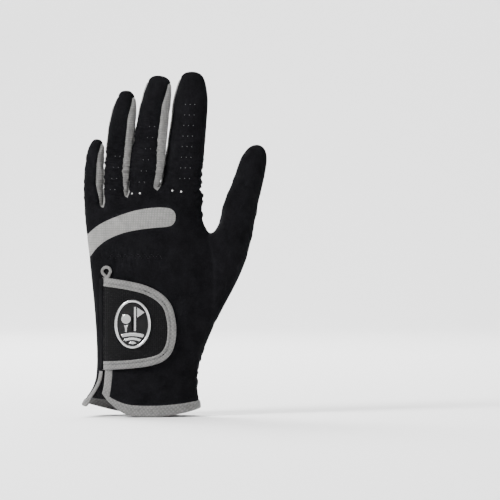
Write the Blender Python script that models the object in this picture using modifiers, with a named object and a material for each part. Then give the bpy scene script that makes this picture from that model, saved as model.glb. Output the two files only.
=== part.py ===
"""A golf glove for the left hand, held open as a hand fills it, with the fingers up.

+Z runs from the wrist opening to the fingertips, the back of the hand faces -Y,
the palm faces +Y and the thumb is on +X. The origin is the middle of the wrist opening.

One coarse cage holds the shape of the whole glove. It is smoothed once, and every cut
panel of the glove is a piece of that one skin with a wall given to it. Each digit is cut
at its two creases, where its parts turn on each other.
"""

import math

import bmesh
import bpy
from mathutils import Vector
from mathutils.bvhtree import BVHTree

MM = 0.001

# ---- sizes, in millimetres ---------------------------------------------------------
WALL = 0.9  # the suede, seam allowance included
KNIT_WALL = 0.6
SEAM_GAP = 0.71 * WALL  # left between neighbouring panels
WEB_GAP = 1.4  # left round the webs, where the walls turn most
SMOOTHING = 1  # levels of subdivision given to the cage
SWELL = 1.06  # the cage stands this much outside the surface that it makes

PALM_LENGTH = 145.0  # from the hem to the web of ring and middle finger
ROOT_WIDTHS = (12.7, 16.7, 19.8, 30.3)  # of little, ring, middle and index finger
WEB_RISE = (-12.0, -7.0, 0.0, 6.0, 0.0)  # the little finger's edge, three webs, the index edge
ROOT_CENTRE_X = -4.4
ROOT_DEPTH = (9.5, 11.0)  # from the middle to the back and to the palm, at the webs
ARCH = 6.0  # how far the outer edges of the hand turn towards the palm

HEM_HEIGHT = 6.0
WRIST_HEIGHT = 27.0
THUMB_ROOT = (58.0, 78.0, 99.0, 119.0)  # heights of the four rows at the root of the thumb

CREASE_BIAS = 0.3  # how far the hinges lie from the middle to the palm, as a share
CREASE_GAP = 1.0
ROOT_BEND = 60.0  # how far each hinge bends, in degrees
KNUCKLE_BEND = 80.0
THUMB_ROOT_BEND = 30.0
THUMB_TIP_BEND = 60.0

SLIT_X = -29.4
SLIT_TOP = 92.0
SLIT_WIDTH = 1.6
SLIT_SPREAD = (1.0, 5.5)  # how far its right and left edges stand off at the hem
SLIT_COLUMN = 2  # the column of the cage that it follows
BINDING_WIDTH = 6.0
BINDING_WALL = 1.4

TAB_LEFT = -31.6  # where the closure tab is sewn down, and turns
TAB_LOW = 28.2  # height of its lower edge
TAB_LENGTH = 49.8
TAB_HEIGHT = 62.2
TAB_EDGE = (  # from its lower sewn corner round to its upper one, as shares of both sizes
    (0.0, 0.0), (0.24, 0.01), (0.46, 0.025), (0.66, 0.05), (0.82, 0.095), (0.93, 0.18),
    (0.985, 0.3), (1.0, 0.43), (0.985, 0.56), (0.94, 0.69), (0.85, 0.79), (0.72, 0.865),
    (0.56, 0.92), (0.38, 0.955), (0.19, 0.98), (0.0, 1.0),
)
TAB_BINDING_WIDTH = 5.8
TAB_ANCHOR_WIDTH = 2.2
HOOK_PATCH = (25.0, 38.0)
LOOP_PATCH = (26.0, 42.0)
PATCH_FROM_SEAM = 31.0  # from the sewn edge to the middle of both patches
BADGE_SIZE = (24.7, 33.0)
BADGE_RIM = 2.2
BADGE_PLACE = (20.0, 31.2)  # of its middle, from the tab's lower sewn corner

# what lies on the back at the tab: how far off the skin each starts, and its thickness
LOOP_LAYER = (0.4, 0.6)
HOOK_LAYER = (1.4, 0.6)
LINING_LAYER = (2.4, 0.5)
FACE_LAYER = (3.3, 0.7)
TAB_BINDING_LAYER = (2.3, 1.9)
BADGE_LAYER = (4.4, 0.8)
BADGE_RELIEF_LAYER = (5.5, 0.7)
ANCHOR_LAYER = (0.9, 1.2)
STRIP_LAYER = (0.4, 0.6)
HINGE_LIFT = 4.5  # the tab turns about the fold in its upper face

KNUCKLE_STRIP = (  # middle line of the pale strip over the knuckles, and its half width
    (-39.5, 114.5, 5.6), (-31.0, 121.0, 5.8), (-20.0, 125.8, 6.0), (-8.0, 129.0, 6.6),
    (4.0, 130.6, 6.8), (12.0, 130.8, 6.2), (15.6, 130.4, 4.4), (17.4, 130.0, 2.0),
)
ELASTIC_WIDTH = 6.0
WRIST_ELASTIC = (-25.0, 25.0, 33.0)  # ends and height, inside the palm
BACK_ELASTIC = (-30.0, 10.0, 104.0)  # the same, inside the back
ELASTIC_DEPTH = (2.5, 0.8)  # how far inside the skin's face, and thickness
PULL_LOOP = (-27.5, 97.0)  # its middle
PULL_LOOP_RADIUS = 3.1
PULL_LOOP_CORD = 1.0

BLACK = (0.012, 0.012, 0.014, 1.0)
GREY = (0.40, 0.39, 0.38, 1.0)
CHARCOAL = (0.03, 0.03, 0.032, 1.0)
SILVER = (0.55, 0.56, 0.57, 1.0)

# name, length, lean and bow to the thumb's side, droop to the palm, roll of the back
# to the little finger's side, heights of both creases above the higher web, half widths
# and half depths at the places below, the angles of the fork's edges on the little
# finger's side and on the thumb's
FINGERS = (
    ("pinky", 49.4, 2.6, -0.9, 4.0, 3.0, (5.0, 20.0),
     (6.0, 6.3, 6.3, 5.8, 4.4), (8.0, 7.8, 7.4, 6.6, 4.8), (60.0, 120.0), (30.0, 140.0)),
    ("ring", 77.0, 5.6, -0.8, 6.0, 3.0, (7.5, 27.5),
     (8.2, 8.6, 9.1, 8.3, 6.2), (9.2, 9.0, 8.8, 8.0, 5.6), (82.0, 112.0), (29.0, 140.0)),
    ("middle", 81.0, 8.4, 0.0, 6.0, 6.0, (8.0, 29.0),
     (9.2, 10.2, 10.9, 10.0, 7.4), (9.8, 9.6, 9.4, 8.6, 6.0), (82.0, 112.0), (29.0, 140.0)),
    ("index", 83.4, 6.0, 0.9, 5.0, 6.0, (8.0, 29.0),
     (13.2, 12.4, 11.8, 10.8, 9.0), (10.4, 10.0, 9.8, 8.8, 6.2), (84.0, 112.0), (60.0, 120.0)),
)
WIDTH_PLACES = (0.0, 0.25, 0.5, 0.8, 0.95)

# the thumb's rings: outer edge and inner edge as x and z, the middle's y, half the depth
THUMB_RINGS = (
    ((54.0, 80.5), (44.0, 123.0), 6.0, 14.0),
    ((62.0, 97.0), (46.8, 131.0), 9.0, 12.5),
    ((67.0, 113.0), (49.8, 139.0), 12.0, 11.5),
    ((70.8, 130.0), (53.0, 147.5), 14.0, 10.5),
    ((74.0, 146.0), (56.5, 156.0), 15.0, 10.0),
    ((77.5, 160.0), (60.0, 167.0), 15.5, 9.6),
    ((79.3, 171.0), (64.0, 176.0), 15.5, 8.0),
    ((78.2, 177.0), (68.8, 180.0), 15.5, 5.4),
)
THUMB_SEAM = (  # x and z of the seam that sets the thumb's cut panel into the palm
    (60.0, 140.0), (45.0, 133.0), (33.5, 128.0), (25.0, 122.0), (16.9, 120.0), (7.4, 115.3), (0.0, 106.8),
    (-4.4, 94.6), (-5.4, 81.8), (-2.6, 67.5), (4.7, 56.8), (16.9, 48.7), (32.4, 44.3), (60.0, 42.0),
)
THUMB_ROOT_CREASE = 2  # the thumb's hinges lie beyond these rings
THUMB_TIP_CREASE = 4

DORSAL, PALMAR = 13, 13  # columns over the back and over the palm


# ---- the cage ----------------------------------------------------------------------
def blend(a, b, share):
    return a + (b - a) * share


def smooth(share):
    share = min(1.0, max(0.0, share))
    return share * share * (3.0 - 2.0 * share)


def along(places, values, at):
    """The value at a place, from a smooth curve through a few known ones."""
    last = len(places) - 1
    slopes = []
    for k in range(last + 1):
        a, b = max(k - 1, 0), min(k + 1, last)
        slopes.append((values[b] - values[a]) / (places[b] - places[a]))
    at = min(max(at, places[0]), places[-1])
    k = max(i for i in range(last) if places[i] <= at)
    span = places[k + 1] - places[k]
    t = (at - places[k]) / span
    rise = (1 - t) * slopes[k] - t * slopes[k + 1]
    return blend(values[k], values[k + 1], smooth(t)) + t * (1 - t) * span * rise


def web_points():
    """x and z of the little finger's edge, the three webs and the index edge."""
    x = ROOT_CENTRE_X - sum(ROOT_WIDTHS) / 2
    points = [(x, PALM_LENGTH + WEB_RISE[0])]
    for width, rise in zip(ROOT_WIDTHS, WEB_RISE[1:]):
        x += width
        points.append((x, PALM_LENGTH + rise))
    return points


def column_shares():
    """Where each column stands between the two edges of the hand, from 0 to 1."""
    webs = web_points()
    width = webs[-1][0] - webs[0][0]
    shares = []
    for (x, _), (x_next, _) in zip(webs, webs[1:]):
        shares += [(blend(x, x_next, k / 3) - webs[0][0]) / width for k in range(3)]
    return shares + [1.0]


def arch_at(x):
    return ARCH * ((x - ROOT_CENTRE_X) / 45.0) ** 2


# height at the little finger's side and at the thumb's, x of both edges, depth to the
# back and to the palm
def palm_rows():
    webs = web_points()
    return (
        (0.0, 0.0, -41.0, 34.5, 18.0, 18.0),
        (HEM_HEIGHT, HEM_HEIGHT, -39.0, 33.6, 17.2, 17.2),
        (14.0, 14.0, -36.0, 31.2, 16.4, 16.6),
        (WRIST_HEIGHT, WRIST_HEIGHT, -34.0, 30.8, 16.0, 16.6),
        (42.0, 42.0, -34.0, 34.8, 15.6, 18.0),
        (60.0, THUMB_ROOT[0], -34.8, 41.0, 15.0, 19.5),
        (77.0, THUMB_ROOT[1], -36.2, 43.0, 14.4, 19.5),
        (SLIT_TOP, THUMB_ROOT[2], -37.8, 43.5, 13.6, 18.0),
        (110.0, THUMB_ROOT[3], -39.8, 42.0, 12.6, 15.5),
        (123.0, blend(THUMB_ROOT[3], webs[-1][1], 0.5), -41.6, 39.4, 11.6, 13.0),
    )


class Cage:
    """Points and labelled faces of the coarse skin."""

    def __init__(self):
        self.points, self.faces, self.labels, self.sharp = [], [], [], set()

    def point(self, x, y, z):
        self.points.append(Vector((x, y, z)))
        return len(self.points) - 1

    def face(self, corners, label):
        self.faces.append(tuple(corners))
        self.labels.append(label)

    def bridge(self, low, high, labels, keep=False):
        """Faces between two rings of the same count. labels has one for each face. keep
        holds the upper ring where it is when the cage is smoothed."""
        count = len(low)
        for k in range(count):
            n = (k + 1) % count
            self.face((low[k], low[n], high[n], high[k]), labels[k])
            if keep:
                self.sharp.add(frozenset((high[k], high[n])))


def digit_frame(tangent, roll):
    """The back's outward direction and the direction to the thumb's side."""
    back = Vector((0.0, -1.0, 0.0))
    back = (back - tangent * back.dot(tangent)).normalized()
    side = tangent.cross(back)
    turn = math.radians(roll)
    return back * math.cos(turn) - side * math.sin(turn), side * math.cos(turn) + back * math.sin(turn)


def ring_points(centre, back, side, half_width, half_depth, left, right):
    """Ten points: four over the back, one on the thumb's side, four over the palm and one
    on the little finger's side. left and right hold the angles of each side's two edges."""
    lo, hi = -left[0], right[0]
    angles = [blend(lo, hi, k / 3) for k in range(4)] + [(right[0] + right[1]) / 2]
    lo, hi = right[1], 360.0 - left[1]
    angles += [blend(lo, hi, k / 3) for k in range(4)] + [360.0 - (left[0] + left[1]) / 2]
    found = []
    for angle in map(math.radians, angles):
        c, s = math.cos(angle), math.sin(angle)
        squarer = (abs(c) ** 2.5 + abs(s) ** 2.5) ** (-1 / 2.5)
        found.append(centre + back * (half_depth * c * squarer) + side * (half_width * s * squarer))
    return found


def mitred(points, centre, tangent, back, shift, bend, half_depth):
    """The ring moved along its finger, and leaned back over the palm to leave room to bend."""
    axis = centre - back * (half_depth * CREASE_BIAS)
    way = math.copysign(1.0, shift)
    moved = []
    for p in points:
        depth = max(0.0, -(p - axis).dot(back))
        moved.append(p + tangent * (shift + way * depth * math.tan(math.radians(bend / 2))))
    return moved


class Digit:
    """A finger's centre line and its hinges."""

    def __init__(self, row, index):
        (self.name, self.length, self.lean, self.bow, self.droop, self.roll, self.creases,
         self.widths, self.depths, self.left, self.right) = row
        (x0, z0), (x1, z1) = web_points()[index:index + 2]
        x, z = (x0 + x1) / 2, (z0 + z1) / 2
        self.web = max(z0, z1) - z
        self.root = Vector((x, arch_at(x) + 0.5, z))

    def centre(self, s):
        lean = math.radians(self.lean)
        run = self.length * s
        return self.root + Vector((
            math.sin(lean) * run + self.bow * 4 * s * (1 - s),
            self.droop * s * s,
            math.cos(lean) * run,
        ))

    def tangent(self, s):
        return (self.centre(s + 0.01) - self.centre(s - 0.01)).normalized()

    def fork(self, s, edges):
        """The fork's edges close on each other towards the fingertip."""
        middle = (edges[0] + edges[1]) / 2
        narrow = smooth((s - 0.72) / 0.25)
        return tuple(blend(e, middle + (12.0 if e > middle else -12.0), narrow) for e in edges)

    def ring(self, s, shift=0.0, bend=0.0):
        centre, tangent = self.centre(s), self.tangent(s)
        back, side = digit_frame(tangent, self.roll)
        a = along(WIDTH_PLACES, self.widths, s) * SWELL
        b = along(WIDTH_PLACES, self.depths, s) * SWELL
        points = ring_points(centre, back, side, a, b, self.fork(s, self.left), self.fork(s, self.right))
        if shift:
            points = mitred(points, centre, tangent, back, shift, bend, b)
        return points

    def hinge(self, crease):
        """The middle and the axis of a crease. Turning positively bends the finger to the palm."""
        s = self.share(self.creases[crease])
        back, side = digit_frame(self.tangent(s), self.roll)
        b = along(WIDTH_PLACES, self.depths, s) * SWELL
        return self.centre(s) - back * (b * CREASE_BIAS), -side

    def share(self, height):
        return (self.web + height) / self.length


FRONT_COLUMNS = ("back", "back", "back", "right", "right", "palm", "palm", "palm", "left", "left")


def digit_labels(name, part, open_left, open_right):
    """The panel that each of a ring's ten faces belongs to."""
    labels = []
    for k, column in enumerate(FRONT_COLUMNS):
        if column == "right" and open_right:
            column = "back" if k == 3 else "palm"
        if column == "left" and open_left:
            column = "palm" if k == 8 else "back"
        labels.append((name, part, column))
    return labels


def close_tip(cage, ring, centre, tangent, reach, name):
    """Four rows of faces close a digit's end, with the seam across its top."""
    d, p = ring[:4], ring[5:9][::-1]
    tips = []
    for k in (1, 2):
        middle = (cage.points[d[k]] + cage.points[p[k]]) / 2
        tips.append(cage.point(*(middle + tangent * reach)))
    top = [ring[9], tips[0], tips[1], ring[4]]
    for k in range(3):
        cage.face((d[k], d[k + 1], top[k + 1], top[k]), (name, "upper", "back"))
        cage.face((top[k], top[k + 1], p[k + 1], p[k]), (name, "upper", "palm"))


def add_finger(cage, digit, base, open_left, open_right):
    """Rings from the web to the tip, with a mitred gap at each crease."""
    one, two = (digit.share(height) for height in digit.creases)
    half = CREASE_GAP / 2
    steps = [
        (digit.share(1.0), 0.0, 0.0, "root"),
        (one, -half, ROOT_BEND, "root"),
        (one, half, ROOT_BEND, "gap"),
        (two, -half, KNUCKLE_BEND, "lower"),
        (two, half, KNUCKLE_BEND, "gap"),
    ]
    rest = (0.97 - two) * digit.length
    count = max(3, round(rest / 12.0))
    steps += [(blend(two + 0.12, 0.95, k / (count - 1)), 0.0, 0.0, "upper") for k in range(count)]
    ring = base
    for s, shift, bend, part in steps:
        new = [cage.point(*p) for p in digit.ring(s, shift, bend)]
        labels = digit_labels(digit.name, part, open_left, open_right)
        cage.bridge(ring, new, labels, keep=bool(shift))
        ring = new
    close_tip(cage, ring, digit.centre(0.95), digit.tangent(0.95), digit.length * 0.05, digit.name)


def thumb_stations():
    """Centre, tangent, back, outer side, half width and half depth of each thumb ring."""
    centres = []
    for outer, inner, y, depth in THUMB_RINGS:
        centres.append(Vector(((outer[0] + inner[0]) / 2, y, (outer[1] + inner[1]) / 2)))
    stations = []
    for k, (outer, inner, y, depth) in enumerate(THUMB_RINGS):
        side = Vector((outer[0] - inner[0], 0.0, outer[1] - inner[1]))
        ahead = centres[min(k + 1, len(centres) - 1)] - centres[max(k - 1, 0)]
        back = side.cross(ahead).normalized()
        tangent = back.cross(side).normalized()
        stations.append((centres[k], tangent, back, side.normalized(), side.length / 2, depth))
    return stations


def thumb_crease(k):
    """The hinge between thumb rings k and k + 1."""
    here, there = thumb_stations()[k:k + 2]
    centre = (here[0] + there[0]) / 2
    tangent = (here[1] + there[1]).normalized()
    back = (here[2] + there[2]).normalized()
    side = tangent.cross(back).normalized()
    return centre, tangent, back, side, (here[4] + there[4]) / 2, (here[5] + there[5]) / 2


def thumb_hinge(k):
    centre, tangent, back, side, _, depth = thumb_crease(k)
    return centre - back * (depth * CREASE_BIAS), -side


def add_thumb(cage, base):
    ring, part = base, "root"
    half = CREASE_GAP / 2
    edges = (60.0, 120.0)
    bends = {THUMB_ROOT_CREASE: THUMB_ROOT_BEND, THUMB_TIP_CREASE: THUMB_TIP_BEND}
    after = {THUMB_ROOT_CREASE: "lower", THUMB_TIP_CREASE: "upper"}
    for k, (centre, tangent, back, side, width, depth) in enumerate(thumb_stations()):
        points = ring_points(centre, back, side, width * SWELL, depth * SWELL, edges, edges)
        new = [cage.point(*p) for p in points]
        cage.bridge(ring, new, digit_labels("thumb", part, True, True))
        ring = new
        if k in bends:
            centre, tangent, back, side, width, depth = thumb_crease(k)
            points = ring_points(centre, back, side, width * SWELL, depth * SWELL, edges, edges)
            for shift, label in ((-half, part), (half, "gap")):
                moved = mitred(points, centre, tangent, back, shift, bends[k], depth * SWELL)
                new = [cage.point(*p) for p in moved]
                cage.bridge(ring, new, digit_labels("thumb", label, True, True), keep=True)
                ring = new
            part = after[k]
    centre, tangent = thumb_stations()[-1][:2]
    close_tip(cage, ring, centre, tangent, 3.0, "thumb")


def add_palm(cage, slit_top):
    """Rows of points round the hand from the hem to the webs. Returns the ring under each finger
    and the ring under the thumb."""
    shares = column_shares()
    rows = []
    for z0, z1, x0, x1, back, palm in palm_rows():
        middle, half = (x0 + x1) / 2, (x1 - x0) / 2 * SWELL

        def at(x, depth, z):
            bulge = (1 - abs((x - middle) / half) ** 2.4) ** (1 / 2.4)
            return x, arch_at(x) * z / PALM_LENGTH + depth * SWELL * bulge, z

        columns = [middle + half * blend(-0.94, 0.94, share) for share in shares]
        heights = [blend(z0, z1, share) for share in shares]
        row = {"palm": [at(x, palm, z) for x, z in zip(columns, heights)]}
        if z0 < slit_top:
            open_share = (1 - z0 / SLIT_TOP) ** 3
            left, right = (SLIT_X + way * (SLIT_WIDTH / 2 + spread * open_share)
                           for way, spread in ((-1, SLIT_SPREAD[1]), (1, SLIT_SPREAD[0])))
            columns[SLIT_COLUMN] = right
            columns[SLIT_COLUMN - 1] = blend(left, columns[0], 0.6)
            columns[SLIT_COLUMN + 1] = right + BINDING_WIDTH
            row["split"] = at(left, -back, z0)
        row["back"] = [at(x, -back, z) for x, z in zip(columns, heights)]
        row["left"] = (middle - half, arch_at(middle - half) * z0 / PALM_LENGTH, z0)
        row["right"] = (middle + half, arch_at(middle + half) * z1 / PALM_LENGTH + 1.0, z1)
        rows.append(row)
    webs, top = web_points(), {"back": [], "palm": []}
    for share, k in zip(shares, range(DORSAL)):
        finger, third = min(k // 3, 3), k - 3 * min(k // 3, 3)
        (x0, z0), (x1, z1) = webs[finger:finger + 2]
        x, z = blend(x0, x1, third / 3), blend(z0, z1, third / 3)
        edge = 1.0 if 0 < k < DORSAL - 1 else 0.55
        top["back"].append((x, arch_at(x) - ROOT_DEPTH[0] * SWELL * edge, z))
        top["palm"].append((x, arch_at(x) + ROOT_DEPTH[1] * SWELL * edge, z))
    top["left"] = (webs[0][0] - 0.4, arch_at(webs[0][0]) + 0.5, webs[0][1])
    top["right"] = (webs[-1][0] + 1.5, arch_at(webs[-1][0]) + 0.5, webs[-1][1])
    rows.append(top)

    grid = [{side: [cage.point(*p) for p in row[side]] for side in ("back", "palm")} for row in rows]
    split = {r: cage.point(*row["split"]) for r, row in enumerate(rows) if "split" in row}
    for ids, row in zip(grid, rows):
        ids["left"], ids["right"] = cage.point(*row["left"]), cage.point(*row["right"])
    hole = [r for r, row in enumerate(rows) if row["right"][2] in THUMB_ROOT]
    for r in range(len(grid) - 1):
        low, high = grid[r], grid[r + 1]
        part = "hem" if r == 0 else "root"

        def wall(a, b, c, d, panel):
            cage.face((a, b, c, d), ("hand", part, panel))

        for k in range(DORSAL - 1):
            a, b, c, d = low["back"][k], low["back"][k + 1], high["back"][k + 1], high["back"][k]
            if r in split and k == SLIT_COLUMN - 1:
                b, c = split[r], split.get(r + 1, high["back"][SLIT_COLUMN])
            bound = {SLIT_COLUMN - 1: "binding_left", SLIT_COLUMN: "binding_right"}
            wall(a, b, c, d, bound.get(k, "back") if r in split else "back")
        for k in range(PALMAR - 1):
            wall(low["palm"][k + 1], low["palm"][k], high["palm"][k], high["palm"][k + 1], "palm")
        wall(low["palm"][0], low["left"], high["left"], high["palm"][0], "palm")
        wall(low["left"], low["back"][0], high["back"][0], high["left"], "back")
        if not (hole[0] <= r < hole[-1]):
            wall(low["back"][-1], low["right"], high["right"], high["back"][-1], "back")
            wall(low["right"], low["palm"][-1], high["palm"][-1], high["right"], "palm")
    top = grid[-1]
    mids = [top["left"]]
    for x, z in webs[1:-1]:
        mids.append(cage.point(x, arch_at(x) + 0.5, z + 0.5))
    mids.append(top["right"])
    rings = []
    for f in range(4):
        b, p = top["back"][3 * f:3 * f + 4], top["palm"][3 * f:3 * f + 4]
        rings.append(b + [mids[f + 1]] + p[::-1] + [mids[f]])
    t = [grid[r] for r in hole]
    thumb = [t[k]["back"][-1] for k in (3, 2, 1, 0)] + [t[0]["right"]]
    thumb += [t[k]["palm"][-1] for k in range(4)] + [t[3]["right"]]
    return rings, thumb


def build_cage(slit_top=SLIT_TOP):
    cage = Cage()
    rings, thumb = add_palm(cage, slit_top)
    for k, row in enumerate(FINGERS):
        add_finger(cage, Digit(row, k), rings[k], k == 0, k == 3)
    add_thumb(cage, thumb)
    return cage


# ---- the skin and its panels ---------------------------------------------------------
def rounded(corners, fineness):
    """A smooth line through the corners, as pairs."""
    corners = [Vector(c) for c in corners]
    ends = [corners[0] * 2 - corners[1]] + corners + [corners[-1] * 2 - corners[-2]]
    curve = []
    for a, b, c, d in zip(ends, ends[1:], ends[2:], ends[3:]):
        for k in range(fineness):
            t = k / fineness
            curve.append(0.5 * (2 * b + (c - a) * t + (2 * a - 5 * b + 4 * c - d) * t ** 2
                                + (3 * b - a - 3 * c + d) * t ** 3))
    return [tuple(p) for p in curve] + [tuple(corners[-1])]


def inside(curve, p):
    """Whether a point lies inside the closed outline, seen along y."""
    crossed = False
    for a, b in zip(curve, curve[1:] + curve[:1]):
        if (a.z > p.z) != (b.z > p.z) and p.x < a.x + (p.z - a.z) / (b.z - a.z) * (b.x - a.x):
            crossed = not crossed
    return crossed


def nearest(p, a, b):
    share = (p - a).dot(b - a) / max(1e-12, (b - a).length_squared)
    return a.lerp(b, min(1.0, max(0.0, share)))


class Skin:
    """The smoothed cage: points, normals, faces and the label of each face."""

    def __init__(self, cage):
        keys = sorted(set(cage.labels))
        mesh = bpy.data.meshes.new("cage")
        mesh.from_pydata([p * MM for p in cage.points], [], cage.faces)
        crease = mesh.attributes.new("crease_edge", "FLOAT", "EDGE")
        for edge in mesh.edges:
            crease.data[edge.index].value = float(frozenset(edge.vertices) in cage.sharp)
        for polygon, label in zip(mesh.polygons, cage.labels):
            polygon.material_index = keys.index(label)
        obj = bpy.data.objects.new("cage", mesh)
        bpy.context.scene.collection.objects.link(obj)
        smoothing = obj.modifiers.new("Smoothing", "SUBSURF")
        smoothing.levels = smoothing.render_levels = SMOOTHING
        smooth_mesh = obj.evaluated_get(bpy.context.evaluated_depsgraph_get()).to_mesh()
        self.points = [v.co.copy() for v in smooth_mesh.vertices]
        self.normals = [v.normal.copy() for v in smooth_mesh.vertices]
        self.faces = [tuple(p.vertices) for p in smooth_mesh.polygons]
        self.labels = [keys[p.material_index] for p in smooth_mesh.polygons]
        bpy.data.objects.remove(obj)
        bpy.data.meshes.remove(mesh)
        self.tree = BVHTree.FromPolygons(self.points, self.faces)

    def set_in(self, curve, label):
        """Gives a label to the palm's faces on the thumb's side of a curve, and draws the
        border of those faces onto the curve."""
        curve = [Vector((x, 0.0, z)) * MM for x, z in rounded(curve, 6)]
        members = set()
        for k, face in enumerate(self.faces):
            middle = sum((self.points[v] for v in face), Vector()) / len(face)
            outward = sum((self.normals[v] for v in face), Vector())
            if outward.y > 0 and self.labels[k] == ("hand", "root", "palm") and inside(curve, middle):
                self.labels[k] = label
                members.add(k)
        near = {}
        for k, face in enumerate(self.faces):
            for v in face:
                near.setdefault(v, set()).add(self.labels[k])
        for v, labels in near.items():
            if labels != {label, ("hand", "root", "palm")}:
                continue
            p = self.points[v]
            flat = Vector((p.x, 0.0, p.z))
            x, _, z = min((nearest(flat, a, b) for a, b in zip(curve, curve[1:])),
                          key=lambda q: (q - flat).length)
            hit, normal, _, _ = self.tree.ray_cast(Vector((x, 0.2, z)), Vector((0.0, -1.0, 0.0)))
            self.points[v] = hit
            self.normals[v] = self.normals[v].lerp(normal, 0.3).normalized()

    def height(self, x, z, way):
        """The skin's y at a place, seen from the back (-1) or the palm (1): the outermost
        of a few samples close by, so that a sheet laid over it stays clear of its facets."""
        found = []
        for dx, dz in ((0, 0), (1.5, 0), (-1.5, 0), (0, 1.5), (0, -1.5)):
            start = Vector(((x + dx) * MM, way * 0.2, (z + dz) * MM))
            hit = self.tree.ray_cast(start, Vector((0.0, -way, 0.0)))[0]
            if hit is not None:
                found.append(hit.y / MM * way)
        return max(found) * way


def drawn_in(points, faces, normals, gap):
    """The points, with those on the outline moved into the sheet by the gap."""
    sides = {}
    for face in faces:
        for a, b in zip(face, face[1:] + face[:1]):
            sides.setdefault(frozenset((a, b)), []).append((a, b))
    inward = {}
    for edge in sides.values():
        if len(edge) > 1:
            continue
        (a, b), = edge
        way = (points[b] - points[a]).normalized()
        for v in (a, b):
            inward.setdefault(v, []).append(normals[v].cross(way).normalized())
    moved = [p.copy() for p in points]
    for v, ways in inward.items():
        total = sum(ways, Vector())
        moved[v] += total * (gap / max(0.5, total.length_squared / len(ways)))
    return moved


def add_object(name, points, faces, thickness, offset, material):
    mesh = bpy.data.meshes.new(name)
    mesh.from_pydata(points, [], faces)
    mesh.materials.append(material)
    obj = bpy.data.objects.new(name, mesh)
    PARTS.objects.link(obj)
    wall = obj.modifiers.new("Wall", "SOLIDIFY")
    wall.thickness = thickness * MM
    wall.offset = offset
    return obj


def panel(skin, name, labels, material, thickness=WALL, lift=0.0, gap=SEAM_GAP):
    """One cut panel: its faces of the skin, drawn in along its outline, with a wall inwards."""
    chosen = [f for f, label in zip(skin.faces, skin.labels) if label in labels]
    used = sorted({v for f in chosen for v in f})
    place = {v: k for k, v in enumerate(used)}
    normals = [skin.normals[v] for v in used]
    points = [skin.points[v] + skin.normals[v] * (lift * MM) for v in used]
    faces = [tuple(place[v] for v in f) for f in chosen]
    points = drawn_in(points, faces, normals, gap / 2 * MM)
    return add_object(name, points, faces, thickness, -1.0, material)


def laid_points(skin, flat, lift, way=-1):
    return [Vector((x, skin.height(x, z, way) + way * lift, z)) * MM for x, z in flat]


def laid_grid(skin, name, rows, layer, material, way=-1, ring=False):
    """A sheet laid over the back or the palm, from rows of x and z with equal counts."""
    lift, thickness = layer
    flat = [p for row in rows for p in row]
    n = len(rows[0])
    faces = []
    for r in range(len(rows) - 1):
        for k in range(n if ring else n - 1):
            a, b = r * n + k, r * n + (k + 1) % n
            face = (a, b, b + n, a + n)
            faces.append(face if way < 0 else face[::-1])
    return add_object(name, laid_points(skin, flat, lift, way), faces, thickness, 1.0, material)


def laid_disc(skin, name, outline, centre, layer, material, rings=4):
    """A sheet laid over the back, from an outline that its centre sees all of."""
    lift, thickness = layer
    flat, faces, n = [centre], [], len(outline)
    for ring in range(1, rings + 1):
        share = ring / rings
        flat += [(blend(centre[0], x, share), blend(centre[1], z, share)) for x, z in outline]
    for k in range(n):
        m = (k + 1) % n
        faces.append((0, 1 + k, 1 + m))
        for ring in range(rings - 1):
            a, b = 1 + ring * n + k, 1 + ring * n + m
            faces.append((a, a + n, b + n, b))
    return add_object(name, laid_points(skin, flat, lift), faces, thickness, 1.0, material)


# ---- outlines, as x and z ------------------------------------------------------------
def oval(centre, size, count=32):
    turns = [2 * math.pi * k / count for k in range(count)]
    return [(centre[0] + size[0] / 2 * math.cos(t), centre[1] + size[1] / 2 * math.sin(t)) for t in turns]


def patch_rows(centre, size, corner=4.0, rows=8, columns=5):
    """Rows over a rectangle with rounded corners."""
    found = []
    for r in range(rows + 1):
        z = -size[1] / 2 + size[1] * (0.5 - 0.5 * math.cos(math.pi * r / rows))
        past = max(0.0, abs(z) - (size[1] / 2 - corner))
        half = size[0] / 2 - corner + math.sqrt(max(0.0, corner ** 2 - past ** 2))
        found.append([(centre[0] + half * (2 * k / columns - 1), centre[1] + z) for k in range(columns + 1)])
    return found


def tab_edge(inset, fineness=3):
    """The tab's edge from its lower sewn corner round to the upper one, drawn in by an inset."""
    corners = [(TAB_LEFT + 0.5 + x * (TAB_LENGTH - 0.5), TAB_LOW + z * TAB_HEIGHT) for x, z in TAB_EDGE]
    curve = [Vector(p) for p in rounded(corners, fineness)]
    moved = []
    for k, p in enumerate(curve):
        ahead = (curve[min(k + 1, len(curve) - 1)] - curve[max(k - 1, 0)]).normalized()
        moved.append(p + Vector((-ahead.y, ahead.x)) * inset)
    for k in (0, -1):
        moved[k].x = TAB_LEFT + 0.5
    return [tuple(p) for p in moved]


def knuckle_rows(columns=2):
    rows = []
    last = len(KNUCKLE_STRIP) - 1
    for k in range(last * 2 + 1):
        (x0, z0, h0), (x1, z1, h1) = KNUCKLE_STRIP[k // 2], KNUCKLE_STRIP[min(k // 2 + 1, last)]
        share = (k % 2) / 2
        x, z, half = blend(x0, x1, share), blend(z0, z1, share), blend(h0, h1, share)
        rows.append([(x - 0.2 * half * (2 * c / columns - 1), z - half * (2 * c / columns - 1))
                     for c in range(columns + 1)])
    return rows


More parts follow.
